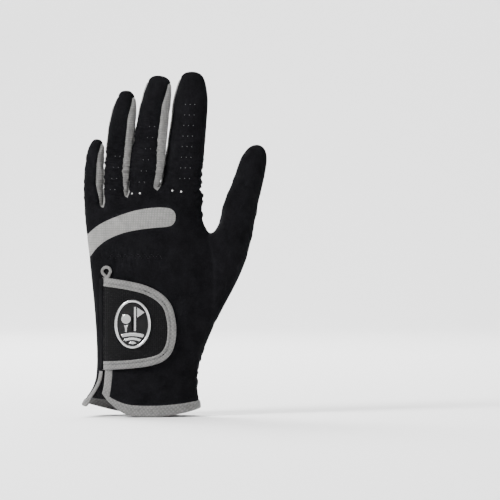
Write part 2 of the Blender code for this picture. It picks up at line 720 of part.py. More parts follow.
def badge_motif_rows():
    """A flag on a green: heights from the badge's middle, with the left and right edge at each."""
    edges = (
        (-10.0, -3.2, 3.2), (-8.4, -5.6, 5.6), (-6.8, -6.4, 6.4), (-5.6, -4.2, 4.2), (-5.2, -0.9, 0.9),
        (-1.0, -0.8, 0.8), (3.2, -0.8, 0.8), (3.5, -0.8, 1.4), (6.4, -0.8, 6.4), (9.3, -0.8, 1.4),
        (9.8, -0.8, 0.8),
    )
    x, z = TAB_LEFT + BADGE_PLACE[0], TAB_LOW + BADGE_PLACE[1]
    return [[(x + blend(a, b, k / 4), z + h) for k in range(5)] for h, a, b in edges]


# ---- the build -----------------------------------------------------------------------
def make_material(name, colour, roughness, metallic=0.0):
    material = bpy.data.materials.new(name)
    material.use_nodes = True
    shader = material.node_tree.nodes["Principled BSDF"]
    shader.inputs["Base Color"].default_value = colour
    shader.inputs["Roughness"].default_value = roughness
    shader.inputs["Metallic"].default_value = metallic
    material.diffuse_color = colour
    return material


def add_hand(skin, suede, knit, tape):
    """Every piece of the root body."""
    panel(skin, "back_panel", {("hand", "root", "back")} | {(f[0], "root", "back") for f in FINGERS}, suede)
    panel(skin, "palm_panel", {("hand", "root", "palm")} | {(f[0], "root", "palm") for f in FINGERS}, suede)
    for a, b in zip(FINGERS, FINGERS[1:]):
        sides = {(a[0], "root", "right"), (b[0], "root", "left")}
        panel(skin, f"web_{a[0]}_{b[0]}", sides, knit, KNIT_WALL, gap=WEB_GAP)
    for column in ("back", "palm"):
        panel(skin, f"thumb_base_{column}", {("thumb", "root", column)}, suede)
    hem = {label for label in skin.labels if label[1] == "hem"}
    panel(skin, "hem_binding", hem, tape, BINDING_WALL, 0.25)
    for side in ("left", "right"):
        panel(skin, f"slit_binding_{side}", {("hand", "root", f"binding_{side}")}, tape, BINDING_WALL, 0.25)


def add_laid_pieces(skin, suede, knit, tape, hook):
    """What is laid on or under the skin of the hand."""
    laid_grid(skin, "knuckle_strip", knuckle_rows(), STRIP_LAYER, knit)
    middle = (TAB_LEFT + PATCH_FROM_SEAM, TAB_LOW + TAB_HEIGHT * 0.48)
    laid_grid(skin, "loop_patch", patch_rows(middle, LOOP_PATCH), LOOP_LAYER, hook)
    rows = 12
    anchor = []
    for r in range(rows + 1):
        z = TAB_LOW + TAB_HEIGHT * r / rows
        anchor.append([(TAB_LEFT - TAB_ANCHOR_WIDTH * (1 - k / 2), z) for k in range(3)])
    laid_grid(skin, "tab_anchor", anchor, ANCHOR_LAYER, tape)
    for name, (x0, x1, z), way in (("wrist_elastic", WRIST_ELASTIC, 1), ("back_elastic", BACK_ELASTIC, -1)):
        lift, thickness = ELASTIC_DEPTH
        band = [[(blend(x0, x1, k / 10), z + ELASTIC_WIDTH * (r / 2 - 0.5)) for k in range(11)] for r in range(3)]
        laid_grid(skin, name, band, (-lift - thickness, thickness), knit, way)
    x, z = PULL_LOOP
    y = skin.height(x, z, -1) - 0.6 - PULL_LOOP_CORD
    bpy.ops.mesh.primitive_torus_add(
        major_segments=20, minor_segments=8,
        major_radius=PULL_LOOP_RADIUS * MM, minor_radius=PULL_LOOP_CORD * MM,
        location=(x * MM, y * MM, z * MM), rotation=(math.radians(90), 0, 0),
    )
    loop = bpy.context.object
    loop.name = loop.data.name = "pull_loop"
    loop.data.materials.append(tape)
    for held in loop.users_collection:
        held.objects.unlink(loop)
    PARTS.objects.link(loop)


def add_tab(skin, mesh_cloth, suede, tape, hook, silver):
    """The closure tab, all of it one body that turns on its sewn edge."""
    centre = (TAB_LEFT + TAB_LENGTH * 0.42, TAB_LOW + TAB_HEIGHT * 0.48)
    inner = tab_edge(TAB_BINDING_WIDTH + 0.35)
    low, high = inner[0], inner[-1]
    sewn = [(low[0], blend(high[1], low[1], k / 10)) for k in range(1, 10)]
    made = [
        laid_disc(skin, "tab_face", inner + sewn, centre, FACE_LAYER, mesh_cloth),
        laid_disc(skin, "tab_lining", inner + sewn, centre, LINING_LAYER, suede),
    ]
    edges = [tab_edge(TAB_BINDING_WIDTH * k / 2) for k in range(3)]
    made.append(laid_grid(skin, "tab_binding", edges, TAB_BINDING_LAYER, tape))
    middle = (TAB_LEFT + PATCH_FROM_SEAM, TAB_LOW + TAB_HEIGHT * 0.48)
    made.append(laid_grid(skin, "hook_patch", patch_rows(middle, HOOK_PATCH), HOOK_LAYER, hook))
    middle = (TAB_LEFT + BADGE_PLACE[0], TAB_LOW + BADGE_PLACE[1])
    made.append(laid_disc(skin, "badge_plate", oval(middle, BADGE_SIZE), middle, BADGE_LAYER, silver))
    rim = []
    for k in range(3):
        size = [s - BADGE_RIM * k for s in BADGE_SIZE]
        rim.append(oval(middle, size))
    made.append(laid_grid(skin, "badge_rim", rim, BADGE_RELIEF_LAYER, silver, ring=True))
    made.append(laid_grid(skin, "badge_motif", badge_motif_rows(), BADGE_RELIEF_LAYER, silver))
    return made


def add_digit_parts(skin, suede, knit):
    """The lower and upper parts of each digit, as lists of objects by body."""
    bodies = {}
    for name in [f[0] for f in FINGERS] + ["thumb"]:
        for part in ("lower", "upper"):
            found = sorted({label for label in skin.labels if label[:2] == (name, part)})
            made = []
            for label in found:
                side = {"left": "fork_little", "right": "fork_thumb"}.get(label[2], label[2])
                cloth, wall = (knit, KNIT_WALL) if "fork" in side else (suede, WALL)
                made.append(panel(skin, f"{name}_{part}_{side}", {label}, cloth, wall))
            bodies[f"{name}_{part}"] = made
    return bodies


def hold(name, centre, children, parent=None):
    """An empty on a joint's axis that carries the body."""
    empty = bpy.data.objects.new(name, None)
    empty.empty_display_size = 0.008
    empty.location = centre * MM
    PARTS.objects.link(empty)
    if parent:
        empty.parent = parent
        empty.location -= Vector(parent["at"])
    empty["at"] = centre * MM
    for child in children:
        child.parent = empty
        child.matrix_parent_inverse.translation = -centre * MM
    return empty


def joint_table():
    """Name, parent body, child body, a point on the axis, the axis and the bend, for each digit."""
    table = []
    for k, row in enumerate(FINGERS):
        digit = Digit(row, k)
        for crease, parent, child, bend in ((0, "hand", "lower", ROOT_BEND), (1, "lower", "upper", KNUCKLE_BEND)):
            parent = parent if parent == "hand" else f"{row[0]}_{parent}"
            table.append((parent, f"{row[0]}_{child}", *digit.hinge(crease), bend))
    table.append(("hand", "thumb_lower", *thumb_hinge(THUMB_ROOT_CREASE), THUMB_ROOT_BEND))
    table.append(("thumb_lower", "thumb_upper", *thumb_hinge(THUMB_TIP_CREASE), THUMB_TIP_BEND))
    return table


def tab_hinge(skin):
    """A point on the line that the tab turns about, outside everything that stays still there."""
    heights = [skin.height(TAB_LEFT, TAB_LOW + TAB_HEIGHT * k / 10, -1) for k in range(11)]
    return Vector((TAB_LEFT, min(heights) - HINGE_LIFT, TAB_LOW + TAB_HEIGHT / 2))


for old in list(bpy.data.objects):
    bpy.data.objects.remove(old)
PARTS = bpy.data.collections.new("golf_glove")
bpy.context.scene.collection.children.link(PARTS)

SUEDE = make_material("black_suede", BLACK, 0.9)
KNIT = make_material("grey_knit", GREY, 0.9)
TAPE = make_material("grey_tape", GREY, 0.8)
MESH_CLOTH = make_material("charcoal_mesh", CHARCOAL, 0.7)
HOOK = make_material("hook_and_loop", BLACK, 0.95)
SILVERED = make_material("silvered_plastic", SILVER, 0.35, 0.6)

SKIN = Skin(build_cage())
SKIN.set_in(THUMB_SEAM, ("thumb", "root", "palm"))
WHOLE = Skin(build_cage(slit_top=-1.0))
add_hand(SKIN, SUEDE, KNIT, TAPE)
add_laid_pieces(WHOLE, SUEDE, KNIT, TAPE, HOOK)
DIGITS = add_digit_parts(SKIN, SUEDE, KNIT)
TAB = add_tab(WHOLE, MESH_CLOTH, SUEDE, TAPE, HOOK, SILVERED)
HOLDERS = {}
for up, down, centre, axis, bend in joint_table():
    HOLDERS[down] = hold(f"{down}_hinge", centre, DIGITS[down], HOLDERS.get(up))
HOLDERS["tab"] = hold("tab_hinge", tab_hinge(WHOLE), TAB)
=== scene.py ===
"""The looks of a golf glove for the left hand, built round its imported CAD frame."""

import math

import bmesh
import bpy
import numpy as np
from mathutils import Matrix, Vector, noise
from mathutils.bvhtree import BVHTree
from mathutils.kdtree import KDTree


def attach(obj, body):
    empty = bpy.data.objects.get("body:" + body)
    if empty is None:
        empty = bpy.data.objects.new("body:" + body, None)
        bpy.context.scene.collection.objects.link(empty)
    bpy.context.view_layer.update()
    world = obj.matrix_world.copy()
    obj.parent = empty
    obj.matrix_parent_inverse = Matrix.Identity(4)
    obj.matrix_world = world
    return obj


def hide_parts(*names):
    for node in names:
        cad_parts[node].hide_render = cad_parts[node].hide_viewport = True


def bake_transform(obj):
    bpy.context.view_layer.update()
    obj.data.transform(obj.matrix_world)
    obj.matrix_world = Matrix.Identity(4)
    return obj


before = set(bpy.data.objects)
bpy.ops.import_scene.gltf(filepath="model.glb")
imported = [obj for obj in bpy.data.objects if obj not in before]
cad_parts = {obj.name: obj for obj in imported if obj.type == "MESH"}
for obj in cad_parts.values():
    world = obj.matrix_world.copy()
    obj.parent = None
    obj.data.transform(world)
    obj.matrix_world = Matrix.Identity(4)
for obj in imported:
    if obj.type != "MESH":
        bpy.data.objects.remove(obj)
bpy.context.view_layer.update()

MM = 0.001

# ---- sizes of the glove, in millimetres ------------------------------------------------
WALL = 0.8
SWELL = 1.072  # the cage stands this much outside the surface that it makes
FINENESS = 3  # levels of subdivision given to the cage

PALM_LENGTH = 145.0
ROOT_WIDTHS = (12.7, 16.7, 19.8, 30.3)
WEB_RISE = (-12.0, -7.0, 0.0, 6.0, 0.0)
ROOT_CENTRE_X = -4.4
ROOT_DEPTH = (9.5, 11.0)
ARCH = 6.0
HEM_HEIGHT = 6.0
WRIST_HEIGHT = 27.0
THUMB_ROOT = (58.0, 78.0, 99.0, 119.0)
SLIT_X = -29.4
SLIT_TOP = 92.0
SLIT_WIDTH = 1.6
SLIT_SPREAD = ((7.5, 5), (3.5, 3))
SLIT_COLUMN = 2
BINDING_WIDTH = 5.0

TAB_LEFT = -31.6
TAB_LOW = 28.2
TAB_LENGTH = 49.8
TAB_HEIGHT = 62.2
TAB_EDGE = (
    (0.0, 0.0), (0.24, 0.01), (0.46, 0.025), (0.66, 0.05), (0.82, 0.095), (0.93, 0.18),
    (0.985, 0.3), (1.0, 0.43), (0.985, 0.56), (0.94, 0.69), (0.85, 0.79), (0.72, 0.865),
    (0.56, 0.92), (0.38, 0.955), (0.19, 0.98), (0.0, 1.0),
)
BADGE_SIZE = (24.7, 33.0)
BADGE_PLACE = (TAB_LEFT + 20.6, TAB_LOW + 31.0)
PATCH_PLACE = (TAB_LEFT + 31.0, TAB_LOW + TAB_HEIGHT * 0.48)

KNUCKLE_STRIP = (
    (-47.0, 105.5, 5.4), (-39.5, 114.5, 5.6), (-31.0, 121.0, 5.8), (-20.0, 125.8, 6.0),
    (-8.0, 129.0, 6.6), (4.0, 130.6, 6.8), (11.0, 130.8, 6.5), (14.6, 130.5, 5.6), (16.6, 130.3, 3.9),
    (17.6, 130.2, 1.6),
)

# name, length, lean, bow, droop, roll, creases, half widths, half depths, both forks' edges
FINGERS = (
    ("pinky", 49.4, 2.6, -0.9, 4.0, 3.0, (5.0, 20.0),
     (6.0, 6.8, 6.8, 5.9, 4.0), (8.0, 7.8, 7.4, 6.6, 4.2), (60.0, 120.0), (12.0, 140.0)),
    ("ring", 77.0, 5.6, -0.3, 6.0, 3.0, (7.5, 27.5),
     (8.2, 9.1, 9.4, 8.3, 5.5), (9.2, 9.0, 8.8, 8.0, 4.8), (82.0, 112.0), (20.0, 140.0)),
    ("middle", 81.0, 8.4, 0.4, 6.0, 6.0, (8.0, 29.0),
     (9.8, 12.0, 10.9, 9.6, 7.8), (9.8, 9.6, 9.4, 8.6, 5.2), (82.0, 112.0), (29.0, 140.0)),
    ("index", 83.4, 6.0, 0.9, 5.0, 6.0, (8.0, 29.0),
     (13.2, 12.4, 11.8, 10.8, 8.0), (10.4, 10.0, 9.8, 8.8, 5.4), (84.0, 112.0), (60.0, 120.0)),
)
WIDTH_PLACES = (0.0, 0.25, 0.5, 0.8, 0.95)
FORK_START = 46.0  # angle of a fork's edge at the web, from the middle of the back
FORK_RUN = {"pinky": 14.0, "ring": 14.0, "middle": 30.0, "index": 14.0}  # run from the web to full width
WEB_CUT = 1.0  # height above the web where a finger's moving cloth starts
ROOT_REACH = 1.2  # the root's bend starts this far above that cut
KNUCKLE_REACH = 9.0  # half the length of cloth that a knuckle bends
THUMB_REACH = 6.0

# outer edge, inner edge, middle's y, half depth
THUMB_RINGS = (
    ((54.0, 80.5), (45.2, 121.5), 6.0, 14.0),
    ((62.0, 97.0), (48.6, 130.0), 9.0, 12.5),
    ((67.0, 113.0), (49.8, 139.0), 12.0, 11.5),
    ((70.8, 130.0), (53.0, 147.5), 14.0, 10.5),
    ((74.0, 146.0), (56.5, 156.0), 15.0, 10.0),
    ((77.5, 160.0), (60.0, 167.0), 15.5, 9.6),
    ((79.3, 171.0), (64.0, 176.0), 15.5, 8.0),
    ((78.2, 177.0), (68.8, 180.0), 15.5, 5.4),
)
THUMB_SEAM = (
    (60.0, 140.0), (45.0, 133.0), (33.5, 128.0), (25.0, 122.0), (16.9, 120.0), (7.4, 115.3), (0.0, 106.8),
    (-4.4, 94.6), (-5.4, 81.8), (-2.6, 67.5), (4.7, 56.8), (16.9, 48.7), (32.4, 44.3), (60.0, 42.0),
)

# where the cloth is rumpled: middle x and z, half width and height, side (-1 back, 1 palm,
# 0 both), size of a fold across and along, its turn in degrees, depth
RUMPLES = (
    (-22.0, 161.0, 14.0, 26.0, -1, 8.0, 2.3, -6.0, 0.95),
    (-28.0, 161.0, 7.0, 24.0, 0, 8.0, 3.2, -6.0, 0.45),
    (-1.0, 178.0, 13.0, 26.0, -1, 9.0, 2.5, -6.0, 0.95),
    (35.0, 148.0, 8.0, 28.0, 0, 5.0, 3.0, 15.0, 1.1),
    (24.0, 170.0, 13.0, 36.0, -1, 9.0, 3.4, 0.0, 0.3),
    (-17.0, 105.0, 30.0, 7.0, -1, 1.8, 6.0, 0.0, 0.5),
    (-24.0, 95.0, 14.0, 9.0, -1, 2.2, 9.0, 38.0, 0.7),
    (0.0, 26.0, 42.0, 15.0, 1, 1.7, 8.0, 0.0, 0.85),
    (33.0, 29.0, 10.0, 15.0, 0, 3.0, 4.2, 0.0, 0.9),
    (-35.0, 30.0, 9.0, 15.0, 1, 3.0, 4.2, 0.0, 0.8),
    (29.0, 122.0, 14.0, 9.0, 1, 8.0, 2.2, -38.0, 0.9),
    (2.0, 15.0, 38.0, 15.0, -1, 8.0, 4.5, 25.0, 0.7),
    (26.0, 62.0, 26.0, 56.0, -1, 14.0, 20.0, 30.0, 0.6),
    (62.0, 140.0, 18.0, 46.0, 0, 6.0, 8.0, 40.0, 0.45),
    (0.0, 90.0, 50.0, 60.0, 1, 14.0, 17.0, -30.0, 0.6),
    (-21.0, 185.0, 13.0, 42.0, 1, 9.0, 4.5, 0.0, 0.4),
    (0.0, 190.0, 14.0, 46.0, 1, 9.0, 4.5, 0.0, 0.4),
    (24.0, 188.0, 14.0, 44.0, 1, 9.0, 4.5, 0.0, 0.4),
    (-38.0, 155.0, 10.0, 34.0, 0, 7.0, 4.0, 0.0, 0.4),
    (-10.0, 200.0, 40.0, 30.0, 0, 7.0, 6.0, 0.0, 0.3),
)
# lines drawn into the cloth: points, side, depth, half width
FURROWS = (
    (((-46.0, 103.0), (-30.0, 104.6), (-10.0, 104.8), (11.0, 103.6)), -1, 0.55, 1.0),
    (((-25.0, 139.0), (-33.0, 133.5), (-44.0, 128.0)), 1, 0.4, 0.8),
    (((3.0, 149.5), (20.0, 151.0), (37.0, 152.0)), 1, 0.8, 1.3),
    (((-30.0, 25.0), (0.0, 22.0), (30.0, 26.0)), 1, 0.35, 1.2),
    (((-30.0, 40.0), (0.0, 37.5), (30.0, 40.0)), 1, 0.35, 1.2),
)


# ---- small sums ------------------------------------------------------------------------
def mix(a, b, share):
    return a + (b - a) * share


def ease(share):
    share = min(1.0, max(0.0, share))
    return share * share * (3.0 - 2.0 * share)


def along(places, values, at):
    """The value at a place, from a smooth curve through a few known ones."""
    last = len(places) - 1
    slopes = []
    for k in range(last + 1):
        a, b = max(k - 1, 0), min(k + 1, last)
        slopes.append((values[b] - values[a]) / (places[b] - places[a]))
    at = min(max(at, places[0]), places[-1])
    k = max(i for i in range(last) if places[i] <= at)
    span = places[k + 1] - places[k]
    t = (at - places[k]) / span
    rise = (1 - t) * slopes[k] - t * slopes[k + 1]
    return mix(values[k], values[k + 1], ease(t)) + t * (1 - t) * span * rise


def rounded(corners, fineness):
    """A smooth line through the corners."""
    corners = [np.array(c, float) for c in corners]
    ends = [corners[0] * 2 - corners[1]] + corners + [corners[-1] * 2 - corners[-2]]
    curve = []
    for a, b, c, d in zip(ends, ends[1:], ends[2:], ends[3:]):
        for t in np.arange(fineness) / fineness:
            curve.append(0.5 * (2 * b + (c - a) * t + (2 * a - 5 * b + 4 * c - d) * t ** 2
                                + (3 * b - a - 3 * c + d) * t ** 3))
    return curve + [corners[-1]]


def offset(curve, by):
    """A line moved square to its own run, to the left of it."""
    moved = []
    for k, p in enumerate(curve):
        ahead = curve[min(k + 1, len(curve) - 1)] - curve[max(k - 1, 0)]
        ahead = ahead / np.linalg.norm(ahead)
        moved.append(p + np.array((-ahead[1], ahead[0])) * by)
    return moved


# ---- the cage --------------------------------------------------------------------------
def web_points():
    x = ROOT_CENTRE_X - sum(ROOT_WIDTHS) / 2
    points = [(x, PALM_LENGTH + WEB_RISE[0])]
    for width, rise in zip(ROOT_WIDTHS, WEB_RISE[1:]):
        x += width
        points.append((x, PALM_LENGTH + rise))
    return points


def column_shares():
    webs = web_points()
    width = webs[-1][0] - webs[0][0]
    shares = []
    for (x, _), (x_next, _) in zip(webs, webs[1:]):
        shares += [(mix(x, x_next, k / 3) - webs[0][0]) / width for k in range(3)]
    return shares + [1.0]


def arch_at(x):
    return ARCH * ((x - ROOT_CENTRE_X) / 45.0) ** 2


def slit_edges(z):
    """Where the slit's two edges run at a height: both swing to the little finger's side towards the hem."""
    return [SLIT_X + way * SLIT_WIDTH / 2 - spread * (1 - z / SLIT_TOP) ** power
            for way, (spread, power) in zip((-1, 1), SLIT_SPREAD)]


def palm_rows():
    """Height at both sides, x of both edges, depth to the back and to the palm."""
    webs = web_points()
    return (
        (0.0, 0.0, -41.0, 32.2, 18.0, 18.0),
        (HEM_HEIGHT, HEM_HEIGHT, -39.0, 31.6, 17.2, 17.2),
        (14.0, 14.0, -36.0, 30.0, 16.4, 16.6),
        (WRIST_HEIGHT, WRIST_HEIGHT, -34.0, 30.8, 16.0, 16.6),
        (42.0, 42.0, -34.0, 34.8, 15.6, 18.0),
        (60.0, THUMB_ROOT[0], -34.8, 41.0, 15.0, 19.5),
        (77.0, THUMB_ROOT[1], -36.2, 43.0, 14.4, 19.5),
        (SLIT_TOP, THUMB_ROOT[2], -37.8, 43.5, 13.6, 18.0),
        (110.0, THUMB_ROOT[3], -39.8, 38.4, 12.6, 15.5),
        (116.0, 124.0, -40.6, 35.2, 12.1, 14.2),
        (124.0, 134.0, -41.6, 32.6, 11.6, 13.0),
    )


class Cage:
    """Points and labelled faces of the coarse skin."""

    def __init__(self):
        self.points, self.faces, self.labels = [], [], []

    def point(self, x, y, z):
        self.points.append(Vector((x, y, z)))
        return len(self.points) - 1

    def face(self, corners, label):
        self.faces.append(tuple(corners))
        self.labels.append(label)

    def bridge(self, low, high, labels):
        count = len(low)
        for k in range(count):
            n = (k + 1) % count
            self.face((low[k], low[n], high[n], high[k]), labels[k])


def digit_frame(tangent, roll):
    """The back's outward direction and the direction to the thumb's side."""
    back = Vector((0.0, -1.0, 0.0))
    back = (back - tangent * back.dot(tangent)).normalized()
    side = tangent.cross(back)
    turn = math.radians(roll)
    return back * math.cos(turn) - side * math.sin(turn), side * math.cos(turn) + back * math.sin(turn)


def ring_points(centre, back, side, half_width, half_depth, left, right):
    lo, hi = -left[0], right[0]
    angles = [mix(lo, hi, k / 3) for k in range(4)] + [(right[0] + right[1]) / 2]
    lo, hi = right[1], 360.0 - left[1]
    angles += [mix(lo, hi, k / 3) for k in range(4)] + [360.0 - (left[0] + left[1]) / 2]
    found = []
    for angle in map(math.radians, angles):
        c, s = math.cos(angle), math.sin(angle)
        squarer = (abs(c) ** 2.5 + abs(s) ** 2.5) ** (-1 / 2.5)
        found.append(centre + back * (half_depth * c * squarer) + side * (half_width * s * squarer))
    return found


class Digit:
    """A finger's centre line, its rings and its hinges."""

    def __init__(self, row, index):
        (self.name, self.length, self.lean, self.bow, self.droop, self.roll, self.creases,
         self.widths, self.depths, self.left, self.right) = row
        (x0, z0), (x1, z1) = web_points()[index:index + 2]
        x, z = (x0 + x1) / 2, (z0 + z1) / 2
        self.web = max(z0, z1) - z
        self.root = Vector((x, arch_at(x) + 0.5, z))
        low, high = self.creases
        self.cut = (2 * low - WEB_CUT - ROOT_REACH + high - KNUCKLE_REACH) / 2 + 0.6

    def centre(self, s):
        lean = math.radians(self.lean)
        run = self.length * s
        return self.root + Vector((
            math.sin(lean) * run + self.bow * 4 * s * (1 - s),
            self.droop * s * s,
            math.cos(lean) * run,
        ))

    def tangent(self, s):
        return (self.centre(s + 0.01) - self.centre(s - 0.01)).normalized()

    def fork(self, s, edges):
        """The fork's edges close at the fingertip, and the back's cloth closes over them at the web."""
        run = (s - self.share(WEB_CUT)) * self.length / FORK_RUN[self.name]
        low = mix(max(edges[0], FORK_START), edges[0], ease(run))
        middle = (low + edges[1]) / 2
        narrow = ease((s - 0.72) / 0.25)
        return tuple(mix(e, middle + (12.0 if e > middle else -12.0), narrow) for e in (low, edges[1]))

    def ring(self, s):
        back, side = digit_frame(self.tangent(s), self.roll)
        a = along(WIDTH_PLACES, self.widths, s) * SWELL
        b = along(WIDTH_PLACES, self.depths, s) * SWELL
        forks = self.fork(s, self.left), self.fork(s, self.right)
        return ring_points(self.centre(s), back, side, a, b, *forks)

    def share(self, height):
        return (self.web + height) / self.length


COLUMNS = ("back", "back", "back", "right", "right", "palm", "palm", "palm", "left", "left")


def digit_labels(name, part, open_left, open_right):
    labels = []
    for k, column in enumerate(COLUMNS):
        if column == "right" and open_right:
            column = "back" if k == 3 else "palm"
        if column == "left" and open_left:
            column = "palm" if k == 8 else "back"
        labels.append((name, part, column))
    return labels


def close_tip(cage, ring, tangent, reach, name):
    d, p = ring[:4], ring[5:9][::-1]
    tips = []
    for k in (1, 2):
        middle = (cage.points[d[k]] + cage.points[p[k]]) / 2
        tips.append(cage.point(*(middle + tangent * reach)))
    top = [ring[9], tips[0], tips[1], ring[4]]
    for k in range(3):
        cage.face((d[k], d[k + 1], top[k + 1], top[k]), (name, "far", "back"))
        cage.face((top[k], top[k + 1], p[k + 1], p[k]), (name, "far", "palm"))


def add_finger(cage, digit, base, open_left, open_right):
    """Rings from the web to the tip: the near part bends at the root, the far part at the knuckle."""
    start, cut, last = digit.share(WEB_CUT), digit.share(digit.cut), 0.79
    near = max(2, round((cut - start) * digit.length / 4.5))
    far = max(2, round((last - cut) * digit.length / 4.5))
    steps = [(start, "root")]
    steps += [(mix(start, cut, k / near), "near") for k in range(1, near + 1)]
    steps += [(mix(cut, last, k / far), "far") for k in range(1, far + 1)] + [(0.95, "far")]
    ring = base
    for s, part in steps:
        new = [cage.point(*p) for p in digit.ring(s)]
        cage.bridge(ring, new, digit_labels(digit.name, part, open_left, open_right))
        ring = new
    close_tip(cage, ring, digit.tangent(0.95), digit.length * 0.058, digit.name)


def thumb_stations():
    """Centre, tangent, back, outer side, half width and half depth of each thumb ring."""
    rows = rounded([(*outer, *inner, y, depth) for outer, inner, y, depth in THUMB_RINGS[:6]], 2)
    rows += [np.array((*outer, *inner, y, depth)) for outer, inner, y, depth in THUMB_RINGS[6:]]
    centres = [Vector(((r[0] + r[2]) / 2, r[4], (r[1] + r[3]) / 2)) for r in rows]
    stations = []
    for k, r in enumerate(rows):
        side = Vector((r[0] - r[2], 0.0, r[1] - r[3]))
        ahead = centres[min(k + 1, len(centres) - 1)] - centres[max(k - 1, 0)]
        back = side.cross(ahead).normalized()
        tangent = back.cross(side).normalized()
        stations.append((centres[k], tangent, back, side.normalized(), side.length / 2, r[5]))
    return stations


def add_thumb(cage, base):
    ring, edges = base, (60.0, 120.0)
    stations = thumb_stations()
    for k, (centre, tangent, back, side, width, depth) in enumerate(stations):
        points = ring_points(centre, back, side, width * SWELL, depth * SWELL, edges, edges)
        new = [cage.point(*p) for p in points]
        part = "root" if k <= 4 else "near" if k <= 7 else "far"
        cage.bridge(ring, new, digit_labels("thumb", part, True, True))
        ring = new
    close_tip(cage, ring, stations[-1][1], 3.0, "thumb")


def add_palm(cage, slit_top):
    """Rows of points round the hand. Returns the ring under each finger and the one under the thumb."""
    shares = column_shares()
    last = len(shares) - 1
    rows = []
    for z0, z1, x0, x1, back, palm in palm_rows():
        middle, half = (x0 + x1) / 2, (x1 - x0) / 2 * SWELL

        def at(x, depth, z):
            bulge = (1 - abs((x - middle) / half) ** 2.4) ** (1 / 2.4)
            return x, arch_at(x) * z / PALM_LENGTH + depth * SWELL * bulge, z

        columns = [middle + half * mix(-0.94, 0.94, share) for share in shares]
        heights = [mix(z0, z1, share) for share in shares]
        row = {"palm": [at(x, palm, z) for x, z in zip(columns, heights)]}
        if z0 < slit_top:
            left, right = slit_edges(z0)
            columns[SLIT_COLUMN] = right
            columns[SLIT_COLUMN - 1] = mix(left, columns[0], 0.85)
            columns[SLIT_COLUMN + 1] = right + BINDING_WIDTH
            row["split"] = at(left, -back, z0)
        row["back"] = [at(x, -back, z) for x, z in zip(columns, heights)]
        row["left"] = (middle - half, arch_at(middle - half) * z0 / PALM_LENGTH, z0)
        row["right"] = (middle + half, arch_at(middle + half) * z1 / PALM_LENGTH + 1.0, z1)
        rows.append(row)
    webs, top = web_points(), {"back": [], "palm": []}
    for k in range(last + 1):
        finger = min(k // 3, 3)
        (x0, z0), (x1, z1) = webs[finger:finger + 2]
        x, z = mix(x0, x1, k / 3 - finger), mix(z0, z1, k / 3 - finger)
        edge = 1.0 if 0 < k < last else 0.55
        top["back"].append((x, arch_at(x) - ROOT_DEPTH[0] * SWELL * edge, z))
        top["palm"].append((x, arch_at(x) + ROOT_DEPTH[1] * SWELL * edge, z))
    top["left"] = (webs[0][0] - 0.4, arch_at(webs[0][0]) + 0.5, webs[0][1])
    top["right"] = (webs[-1][0] + 1.5, arch_at(webs[-1][0]) + 0.5, webs[-1][1])
    rows.append(top)

    grid = [{side: [cage.point(*p) for p in row[side]] for side in ("back", "palm")} for row in rows]
    split = {r: cage.point(*row["split"]) for r, row in enumerate(rows) if "split" in row}
    for ids, row in zip(grid, rows):
        ids["left"], ids["right"] = cage.point(*row["left"]), cage.point(*row["right"])
    hole = [r for r, row in enumerate(rows) if row["right"][2] in THUMB_ROOT]
    for r in range(len(grid) - 1):
        low, high = grid[r], grid[r + 1]
        part = "hem" if r == 0 else "root"

        def wall(a, b, c, d, panel):
            cage.face((a, b, c, d), ("hand", part, panel))

        for k in range(last):
            a, b, c, d = low["back"][k], low["back"][k + 1], high["back"][k + 1], high["back"][k]
            if r in split and k == SLIT_COLUMN - 1:
                b, c = split[r], split.get(r + 1, high["back"][SLIT_COLUMN])
            bound = {SLIT_COLUMN - 1: "binding_left", SLIT_COLUMN: "binding_right"}
            wall(a, b, c, d, bound.get(k, "back") if r in split else "back")
        for k in range(last):
            wall(low["palm"][k + 1], low["palm"][k], high["palm"][k], high["palm"][k + 1], "palm")
        wall(low["palm"][0], low["left"], high["left"], high["palm"][0], "palm")
        wall(low["left"], low["back"][0], high["back"][0], high["left"], "back")
        if not (hole[0] <= r < hole[-1]):
            wall(low["back"][-1], low["right"], high["right"], high["back"][-1], "back")
            wall(low["right"], low["palm"][-1], high["palm"][-1], high["right"], "palm")
    top = grid[-1]
    mids = [top["left"]]
    for x, z in webs[1:-1]:
        mids.append(cage.point(x, arch_at(x) + 0.5, z + 0.5))
    mids.append(top["right"])
    rings = []
    for f in range(4):
        b, p = top["back"][3 * f:3 * f + 4], top["palm"][3 * f:3 * f + 4]
        rings.append(b + [mids[f + 1]] + p[::-1] + [mids[f]])
    t = [grid[r] for r in hole]
    thumb = [t[k]["back"][-1] for k in (3, 2, 1, 0)] + [t[0]["right"]]
    thumb += [t[k]["palm"][-1] for k in range(4)] + [t[3]["right"]]
    return rings, thumb


def build_cage(slit_top=SLIT_TOP):
    cage = Cage()
    rings, thumb = add_palm(cage, slit_top)
    for k, row in enumerate(FINGERS):
        add_finger(cage, Digit(row, k), rings[k], k == 0, k == 3)
    add_thumb(cage, thumb)
    return cage


# ---- the skin --------------------------------------------------------------------------
def drop_cuff(p, slit):
    """The hem sags between its sides, the slit's left flap swings out, and its other corner is round."""
    x, y, z = p
    low = max(0.0, 1 - z / 32.0) ** 2
    z_new = z + (-3.0 + 6.0 * (x / 37.0) ** 2) * low
    x_new = x
    if slit and y < 8.0 and x < sum(slit_edges(min(z, SLIT_TOP))) / 2:
        swing = ease((24.0 - z) / 20.0) * ease((8.0 - y) / 20.0)
        x_new -= 4.6 * swing
        y -= 1.5 * swing
    elif y < 0 and x < -10.0:
        z_new += 8.5 * ((-10.0 - x) / 19.4) ** 2 * max(0.0, 1 - z / 26.0) ** 1.6
    return np.array((x_new, y, z_new))


